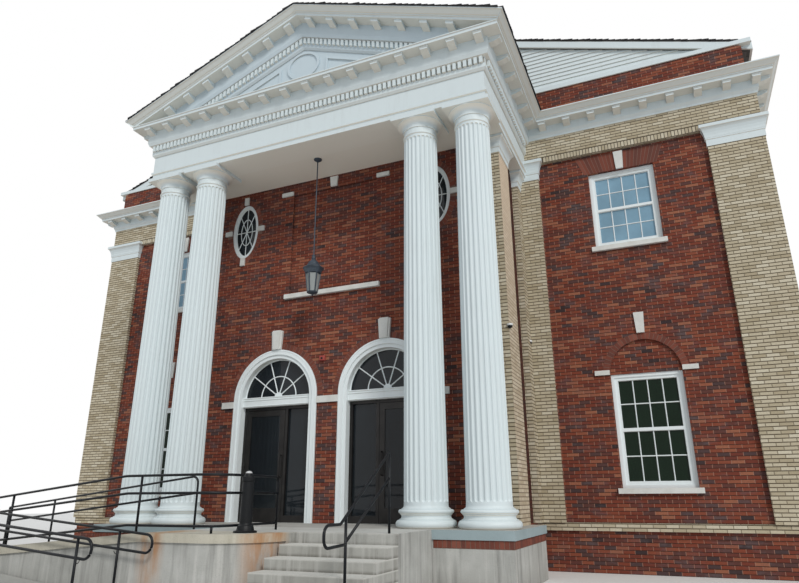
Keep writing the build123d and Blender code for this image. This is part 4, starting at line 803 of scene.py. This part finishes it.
def lantern_parts(metal, panes):
    """The lantern under the porch: hood, skirt, glazing bars, finial, rod and canopy, and its panes."""
    x, y = 0.0, -2.64
    foot, low, high, rim = 5.078, 5.145, 5.55, 5.652

    def at(r, t, z):
        return (x + r * cos(t), y + r * sin(t), z)

    metal.turned(x, y, [(0.004, 0.0), (0.013, 0.006), (0.016, 0.016), (0.009, 0.026), (0.011, 0.036),
                        (0.06, 0.044), (0.086, 0.057), (0.104, 0.061), (0.106, 0.073), (0.092, 0.079)],
                 24, foot)
    for i in range(6):
        a = pi / 6 + pi / 3 * i
        b = a + pi / 3
        c, s = cos(a), sin(a)
        metal.loft(*[[(x + (r + k) * c - t * s, y + (r + k) * s + t * c, z)
                      for k, t in ((-0.012, -0.011), (0.003, -0.011), (0.003, 0.011), (-0.012, 0.011))]
                     for r, z in ((0.104, low), (0.154, high))])
        for r, z, tall in ((0.1, low + 0.006, 0.016), (0.147, high - 0.022, 0.02)):
            top, far = z + tall, r + tall * 0.1266
            ring = ((r - 0.008, z), (r + 0.001, z), (far + 0.001, top), (far - 0.008, top))
            metal.loft(*[[at(reach, t, level) for reach, level in ring] for t in (a, b)])
        z0, z1 = low + 0.004, high - 0.004
        panes.loft(*[[at(r, a, z0), at(r, b, z0), at(r + 0.049, b, z1), at(r + 0.049, a, z1)]
                     for r in (0.092, 0.096)])
    hood = [(0.12, -0.108), (0.158, -0.106), (0.16, -0.094), (0.166, -0.082), (0.182, -0.042),
            (0.2, -0.012), (0.206, -0.008), (0.206, 0.004), (0.182, 0.012), (0.152, 0.034), (0.126, 0.068),
            (0.108, 0.104), (0.09, 0.136), (0.064, 0.162), (0.044, 0.18), (0.038, 0.196), (0.046, 0.202),
            (0.046, 0.212), (0.036, 0.218), (0.033, 0.262), (0.04, 0.268), (0.04, 0.28), (0.02, 0.29),
            (0.012, 0.3)]
    canopy = [(0.012, 2.394), (0.02, 2.4), (0.03, 2.41), (0.052, 2.424), (0.078, 2.442), (0.085, 2.452),
              (0.085, 2.464)]
    metal.turned(x, y, hood + canopy, 36, rim)


def wall_fittings(white, dark, red):
    """Two small cameras at the porch's right corner and the red alarm box between the doors."""
    for x, y, z in ((3.744, -1.99, 4.211), (3.705, -0.14, 4.321)):
        housing = [(0.04, 0.045), (0.052, 0.043), (0.056, 0.03), (0.056, 0.012), (0.05, 0.006)]
        dome = [(0.047, 0.008), (0.045, -0.008), (0.036, -0.026), (0.02, -0.038), (0.004, -0.042)]
        white.turned(x, y, housing, 20, z)
        dark.turned(x, y, dome, 20, z)
    red.box(block_front, (-0.2, -0.075), (-0.001, 0.055), (3.93, 4.035), 0.012)
    dark.box(block_front, (-0.158, -0.117), (0.054, 0.062), (3.96, 4.0), 0.004)


def rounded(points, bends, steps=6):
    """A path whose inner corners are turned with the given bend radii."""
    points = [Vector(p) for p in points]
    path = [points[0]]
    for before, here, after, bend in zip(points, points[1:], points[2:], bends):
        back = (before - here).normalized()
        on = (after - here).normalized()
        half = back.angle(on) / 2
        centre = here + (back + on).normalized() * bend / sin(half)
        arm = here + back * bend / tan(half) - centre
        end = here + on * bend / tan(half) - centre
        turn = arm.angle(end)
        for t in spread(0, 1, steps):
            path.append(centre + (arm * sin((1 - t) * turn) + end * sin(t * turn)) / sin(turn))
    return path + [points[-1]]


def ramp_top(x):
    return 0.85 - 0.4 * min(max((-0.7 - x) / 4.6, 0.0), 1.0)


def rails(shape):
    """The round bar rails of both flights and of the steps, with their posts, loops and hooks."""
    r = 0.0175

    def bar(*path):
        shape.tube(path, r)

    def bent(bends, *path, steps=8):
        shape.tube(rounded(path, bends, steps), r)

    # Outer side of the upper flight, round the landing's corner to a post beside the steps.
    corner_x, outer_y, sunk = 0.545, -5.66, LANDING - 0.01
    for level, fall, first in ((1.605, 0.108, -1.1), (1.367, 0.1, -1.05), (0.945, 0.09, -1.0)):
        left = ramp_top(-5.3) + 0.075 if level < 1.0 else level - fall * (5.36 + first)
        path = [(-5.36, outer_y, left), (first, outer_y, level), (corner_x, outer_y, level)]
        if level > 1.5:
            bent([0.9, 0.43, 0.09], *path, (corner_x, -4.27, level), (corner_x, -4.27, sunk))
        else:
            bent([0.9, 0.43], *path, (corner_x, -4.36, level))
            bar((corner_x, -4.4, level), (corner_x, -4.27, level))
    for x, top in ((-0.81, 1.605), (-3.39, 1.358), (-5.3, 1.152)):
        bar((x, outer_y, ramp_top(x) - 0.01), (x, outer_y, top))
    bar((0.39, -5.551, sunk), (0.39, -5.551, 0.945))

    # Inner side: two bars and a bent end.
    bent([0.1], (-5.3, -4.3, 1.153), (-0.97, -4.3, 1.645), (-0.97, -4.3, 0.82), steps=6)
    bar((-5.3, -4.3, 0.918), (-0.97, -4.3, 1.382))
    for x, top in ((-4.15, 1.283), (-5.3, 1.153)):
        bar((x, -4.3, ramp_top(x) - 0.01), (x, -4.3, top))

    # The loops of the lower flight.
    for y, posts, side in ((-5.85, (-0.905, -3.42, -5.2), -0.03), (-6.82, (-0.552, -2.95, -5.2), 0.03)):
        bent([0.112, 0.108], (-5.2, y, 1.254), (-0.315, y, 0.834), (-0.315, y, 0.604), (-5.2, y, 1.01))
        for x in posts:
            floor = 0.0 if x > -0.9 else 0.45 + (0.015 - 0.45) * (x + 5.3) / 4.4
            bar((x, y, max(floor - 0.01, 0.0)), (x, y, 0.807 + 0.086 * -x))
        hook = arc(posts[0] + side, 0.566 + 0.083 * -posts[0] - 0.012, 0.036, 0.036, 1, 2, 10)
        shape.tube([(x, y, z) for x, z in hook], 0.005, 8)

    # The handrail over the steps.
    x, near, far = 2.6, -5.914, -4.7
    bent([0.1, 0.1, 0.06], (x, near, 0.788), (x, -6.413, 0.77), (x, -6.413, 1.008), (x, -6.042, 1.008),
         (x, far, 1.884))
    bar((x, near, 0.812), (x, far, 1.545))
    bar((x, near, 0.275), (x, near, 1.085))
    bar((x, far, sunk), (x, far, 1.884))


def door_post(shape):
    """The black post with the door switch: flange, collar, round shaft and bare metal head."""
    shape.turned(0.67, -5.19, [(0.004, 0.0), (0.16, 0.0), (0.16, 0.02), (0.152, 0.026), (0.122, 0.03),
                               (0.116, 0.058), (0.104, 0.092), (0.096, 0.1), (0.09, 0.108), (0.086, 0.12),
                               (0.079, 0.66), (0.084, 0.664), (0.088, 0.676), (0.088, 0.722), (0.082, 0.734),
                               (0.06, 0.742), (0.052, 0.762), (0.05, 0.772), (0.04, 0.794), (0.022, 0.806),
                               (0.004, 0.81)], 36, LANDING)


def pilaster_caps(shape):
    """Capitals of the corner pilasters, the responds and the piers at the entrance block's corners."""
    steps = ((0.014, 0.0), (0.014, 0.3), (0.024, 0.31), (0.029, 0.335), (0.024, 0.36), (0.03, 0.39),
             (0.034, 0.5), (0.046, 0.62), (0.068, 0.74), (0.09, 0.82), (0.097, 0.835), (0.112, 0.845),
             (0.112, 0.975), (0.104, 1.0))

    def angle(o, a, b, c, d, e, f):
        """An L-shaped plan, grown by o on its open sides."""
        return [(a - o, b - o), (c + o, b - o), (c + o, d + o), (e, d + o), (e, f), (a - o, f)]

    def strip(o, a, b, c):
        """A plan against the wall, grown by o on its two open sides."""
        return [(a, b - o), (c + o, b - o), (c + o, 0.05), (a, 0.05)]

    high = (8.01, 0.466)
    low = (7.765, 0.349)
    for plan, sizes, (foot, tall), at_rear in (
            (angle, (7.555, -0.082, 8.582, 0.945, 8.45, 0.05), high, True),
            (strip, (3.7, -0.082, 4.136), high, False),
            (angle, (3.166, -1.99, 3.726, -1.25, 3.55, -1.85), low, False),
            (strip, (3.55, -0.41, 3.726), low, False)):
        rings = [[(x, y, foot + share * tall) for x, y in plan(o, *sizes)] for o, share in steps]
        shape.pair(*rings)
        if at_rear:
            shape.pair(*[[(x, DEPTH - y, z) for x, y, z in ring] for ring in rings])


def door_keys(shape):
    """The three-faced key stones over the door arches."""
    for u in DOORS:
        for low, foot, high, head, out, cut in ((0.108, 4.262, 0.133, 4.655, 0.055, 0.004),
                                                (0.072, 4.258, 0.096, 4.668, 0.08, 0.005)):
            outline = [(u - low, foot), (u + low, foot), (u + high, head), (u - high, head)]
            shape.prism(block_front, outline, -0.001, out, cut)


def dentil_shade_strips(shape):
    """Painted shade: dark strips behind the dentils, seen in the gaps between them."""
    face, right, left = faces(PORCH_HALF, PORCH_OUT)
    for place, a, b in ((face, -3.9, 3.9), (right, -3.39, -0.2), (left, 0.2, 3.39)):
        shape.box(place, (a, b), (0.049, 0.0515), (8.79, 8.908))


# Roofs and gables

def gable_boards(shape):
    """Lapped boards on both gables."""
    exposure = 0.105
    z = 10.4
    while z < 13.02:
        top = min(z + exposure + 0.004, 13.06)
        rows = [(max(0.05, (13.1 - level) / PITCH - 0.02), 0.19 - out, level)
                for level, out in ((z, 0.026), (z, 0.0), (top, 0.0), (top, 0.002))]
        back = [(half, DEPTH - y, level) for half, y, level in rows]
        for board in (rows, back):
            shape.loft(*[[(s * half, y, level) for half, y, level in board] for s in (-1, 1)])
        z += exposure


def courses(shape, ridge, fall, reach, last, ends, profile):
    """Courses of shingles on both slopes of a roof: profile holds (0 up or 1 down the slope, lift)."""
    step = SHINGLE / hypot(1, fall)
    for i in range(round(reach / step)):
        edges = (i * step, min((i + 1) * step, last))
        ring = [(edges[k], ridge - fall * edges[k] + lift) for k, lift in profile]
        shape.pair(*[[(x, y, z) for x, z in ring] for y in ends])


def roof_courses(shape):
    """Courses on the main roof, each lapping the one below."""
    courses(shape, RIDGE, PITCH, 8.7, 8.72, (0.1, DEPTH - 0.1),
            ((0, 0.0), (1, 0.008), (1, 0.0), (0, -0.004)))


def shingle_edges(shape):
    """The ragged ends of the shingles along the gables, the pediment and the porch's eaves."""
    pick = random.Random(11)
    for top, fall, reach, lip, inner in ((RIDGE, PITCH, 8.7, 0.075, 0.17),
                                         (RIDGE, PITCH, 8.7, DEPTH - 0.075, DEPTH - 0.17),
                                         (PORCH_RIDGE, PORCH_PITCH, 4.38, -3.9, -3.79)):
        step = SHINGLE / hypot(1, fall)
        inward = 0.016 if lip < inner else -0.016
        for s in (-1, 1):
            for i in range(int(reach / step)):
                a = i * step
                b = a + step
                y = lip + inward * pick.random()
                thick = 0.03 + 0.026 * pick.random()
                za = top - fall * a
                zb = top - fall * b
                ring = ((a, za - 0.002), (b, zb - 0.002), (b, zb + thick), (a, za + thick * 0.55))
                shape.loft(*[[(s * x, end, min(z, RIDGE - 0.002)) for x, z in ring] for end in (y, inner)])
    y = -3.86
    while y < -0.35:
        tab = 0.16 + 0.06 * pick.random()
        lip = 4.392 + 0.014 * pick.random()
        thick = 0.03 + 0.018 * pick.random()
        ring = ((4.29, 9.494), (lip, 9.456), (lip, 9.456 + thick), (4.29, 9.498 + thick * 0.4))
        shape.pair(*[[(x, end, z) for x, z in ring] for end in (y, y + tab - 0.006)])
        y += tab


def porch_courses(shape):
    """Courses on the porch roof."""
    courses(shape, PORCH_RIDGE, PORCH_PITCH, 4.36, 4.36, (-3.8, -0.01),
            ((0, -0.003), (1, -0.003), (1, 0.008), (0, 0.0)))


# Cornices

def modillion_caps(shape):
    """A small moulding round the head of each bracket."""
    top = 9.272
    face, right, left = faces(PORCH_HALF, PORCH_OUT)
    side = [-PORCH_OUT + i * 0.565 for i in range(6)]
    main = spread(4.347, 8.6, 8)
    even = spread(-8.6, 8.6, 33)
    deep = [DEPTH / 2 + y for y in even]
    rows = ((face, spread(-PORCH_HALF, PORCH_HALF, 15)), (right, side), (left, [-y for y in side]),
            (front, main), (front, [-x for x in main]), (rear, even), (right_side, deep), (left_side, deep))
    for place, middles in rows:
        for u in middles:
            for half, low, high, out in ((0.088, 0.024, 0.002, 0.362), (0.081, 0.034, 0.023, 0.356)):
                shape.box(place, (u - half, u + half), (0.139, out), (top - low, top - high), 0.004)


# Light, camera and floor

def set_camera():
    data = bpy.data.cameras.new("camera")
    data.lens = 28.185
    data.sensor_width = 36.0
    data.sensor_fit = "HORIZONTAL"
    data.clip_end = 300.0
    camera = add_object("camera", data)
    yaw, pitch, roll = (radians(a) for a in (-23.285, 18.325, -0.201))
    ahead = Vector((sin(yaw) * cos(pitch), cos(yaw) * cos(pitch), sin(pitch)))
    side = Vector((cos(yaw), -sin(yaw), 0.0))
    up = side.cross(ahead)
    across = side * cos(roll) + up * sin(roll)
    upward = up * cos(roll) - side * sin(roll)
    turn = Matrix((across, upward, -ahead)).transposed()
    camera.matrix_world = Matrix.Translation((6.209, -12.716 + FACE, 1.283)) @ turn.to_4x4()
    bpy.context.scene.camera = camera


def set_light():
    """A pale sky that looks white to the camera, and a soft low sun."""
    world = bpy.data.worlds.new("studio")
    bpy.context.scene.world = world
    world.use_nodes = True
    world.node_tree.nodes.clear()
    net = Nodes(world.node_tree)
    ray = net.add("ShaderNodeLightPath", {}).outputs
    seen = net.math("MAXIMUM", ray["Is Camera Ray"], ray["Is Transmission Ray"])
    either = net.math("MAXIMUM", seen, ray["Is Glossy Ray"])
    soft = net.add("ShaderNodeBackground", {"Color": (0.93, 0.965, 1.0), "Strength": 0.62})
    plain = net.add("ShaderNodeBackground", {"Color": (1.0, 1.0, 1.0), "Strength": 1.0})
    both = net.add("ShaderNodeMixShader", {0: either, 1: soft.outputs[0], 2: plain.outputs[0]})
    net.add("ShaderNodeOutputWorld", {"Surface": both.outputs[0]})
    data = bpy.data.lights.new("key", "SUN")
    data.energy = 1.7
    data.angle = radians(14)
    data.color = (1.0, 0.97, 0.92)
    sun = add_object("key", data)
    sun.rotation_euler = Vector((0.62, -0.62, 0.62)).to_track_quat("Z", "Y").to_euler()


def set_floor():
    mesh = bpy.data.meshes.new("floor")
    mesh.from_pydata([(x, y, -0.002) for x, y in arc(0, 0, 60, 60, 0, 2, 48)[:-1]], [], [tuple(range(48))])
    floor = add_object("floor", mesh)
    look = Look("pale_floor")
    cloud = look.noise(0.35, 3.0, 0.5)
    look.finish(look.mix(cloud, (0.74, 0.74, 0.735), (0.78, 0.78, 0.775)), 0.9, specular=0.1)
    mesh.materials.append(look.mat)


NODE_LOOKS = {
    RED: "front_walls side_walls rear_wall front_wall_over_hall entrance_piers entrance_wall "
         "entrance_side_walls foundation",
    BUFF: "brick_bands brick_pilasters",
    STONE: "stone_trim",
    CONCRETE: "front_steps ramp portico_base ground_floor",
    SLAB: "portico_floor",
    WHITE: "pilaster_capitals entablature dentils modillions main_cornice portico_cornice raking_cornice "
           "gables column_1 column_2 column_3 column_4",
    FRAME: "window_frames door_casings",
    PEDIMENT_SHADE_PAINT: "tympanum",
    CEILING: "portico_ceiling attic_ceiling upper_floor",
    SHINGLES: "main_roof portico_roof",
    PANES: "window_glass",
    FAN_PANES: "entrance_glass",
    DOOR_PANES: "door_glass_left door_glass_right",
    BRONZE: "door_frames door_leaf_left door_leaf_right",
    BLACK: "railings lantern bollard",
}


def dress_nodes():
    for look, names in NODE_LOOKS.items():
        for name in names.split():
            for slot in nodes[name].material_slots:
                slot.material = look


def draw(function, *rows):
    """Lets a function draw into a new shape for each row, and makes the pieces: name, material, slot. The
    slot is not used.
    """
    shapes = [Shape() for _ in rows]
    function(*shapes)
    return [piece(row[0], shape, *row[1:]) for row, shape in zip(rows, shapes)]


def make_pieces():
    draw(sash_bars, ("sash_bars", FRAME))
    draw(sash_beads, ("sash_beads", FRAME))
    draw(arches, ("arch_joints", MORTAR, "red_brick"), ("arch_bricks", RED_LOOSE, "red_brick"))
    draw(header_course, ("band_headers", BUFF_LOOSE, "buff_brick"), ("band_joints_and_shadow", SHADED_RAKED_JOINT, "buff_brick"))
    draw(base_course, ("base_bricks", RED_LOOSE, "red_brick"), ("base_joints", MORTAR, "red_brick"))
    draw(door_keys, ("door_keys", STONE, "pale_stone"))
    draw(fan_bars, ("fanlight_bars", FRAME))
    draw(oval_bars, ("oval_bars", FRAME))
    draw(casing_beads, ("casing_beads", FRAME))
    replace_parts(draw(pilaster_caps, ("pilaster_caps", WHITE))[0], "pilaster_capitals")
    lantern = draw(lantern_parts, ("lantern_frame", LANTERN, "black_metal"),
                   ("lantern_panes", OPAL, "window_glass"))
    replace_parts(lantern[0], "lantern")
    draw(wall_fittings, ("camera_housings", CASING), ("camera_domes", BLACK, "black_metal"),
         ("alarm_box", ALARM, "dark_metal"))
    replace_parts(draw(rails, ("rails", BLACK, "black_metal", True))[0], "railings")
    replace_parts(draw(door_post, ("door_post", POST, "black_metal"))[0], "bollard")
    draw(gable_boards, ("gable_boards", WHITE))
    draw(roof_courses, ("shingle_courses", SHINGLES, "roofing"))
    draw(porch_courses, ("porch_courses", SHINGLES, "roofing"))
    draw(shingle_edges, ("shingle_edges", EDGES, "roofing"))
    draw(modillion_caps, ("modillion_caps", WHITE))
    draw(dentil_shade_strips, ("dentil_shade_strips", DENTIL_SHADE))


def main():
    random.seed(7)
    bpy.context.scene.view_settings.view_transform = "Standard"
    dress_nodes()
    make_pieces()
    set_floor()
    set_light()
    set_camera()
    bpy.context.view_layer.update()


main()
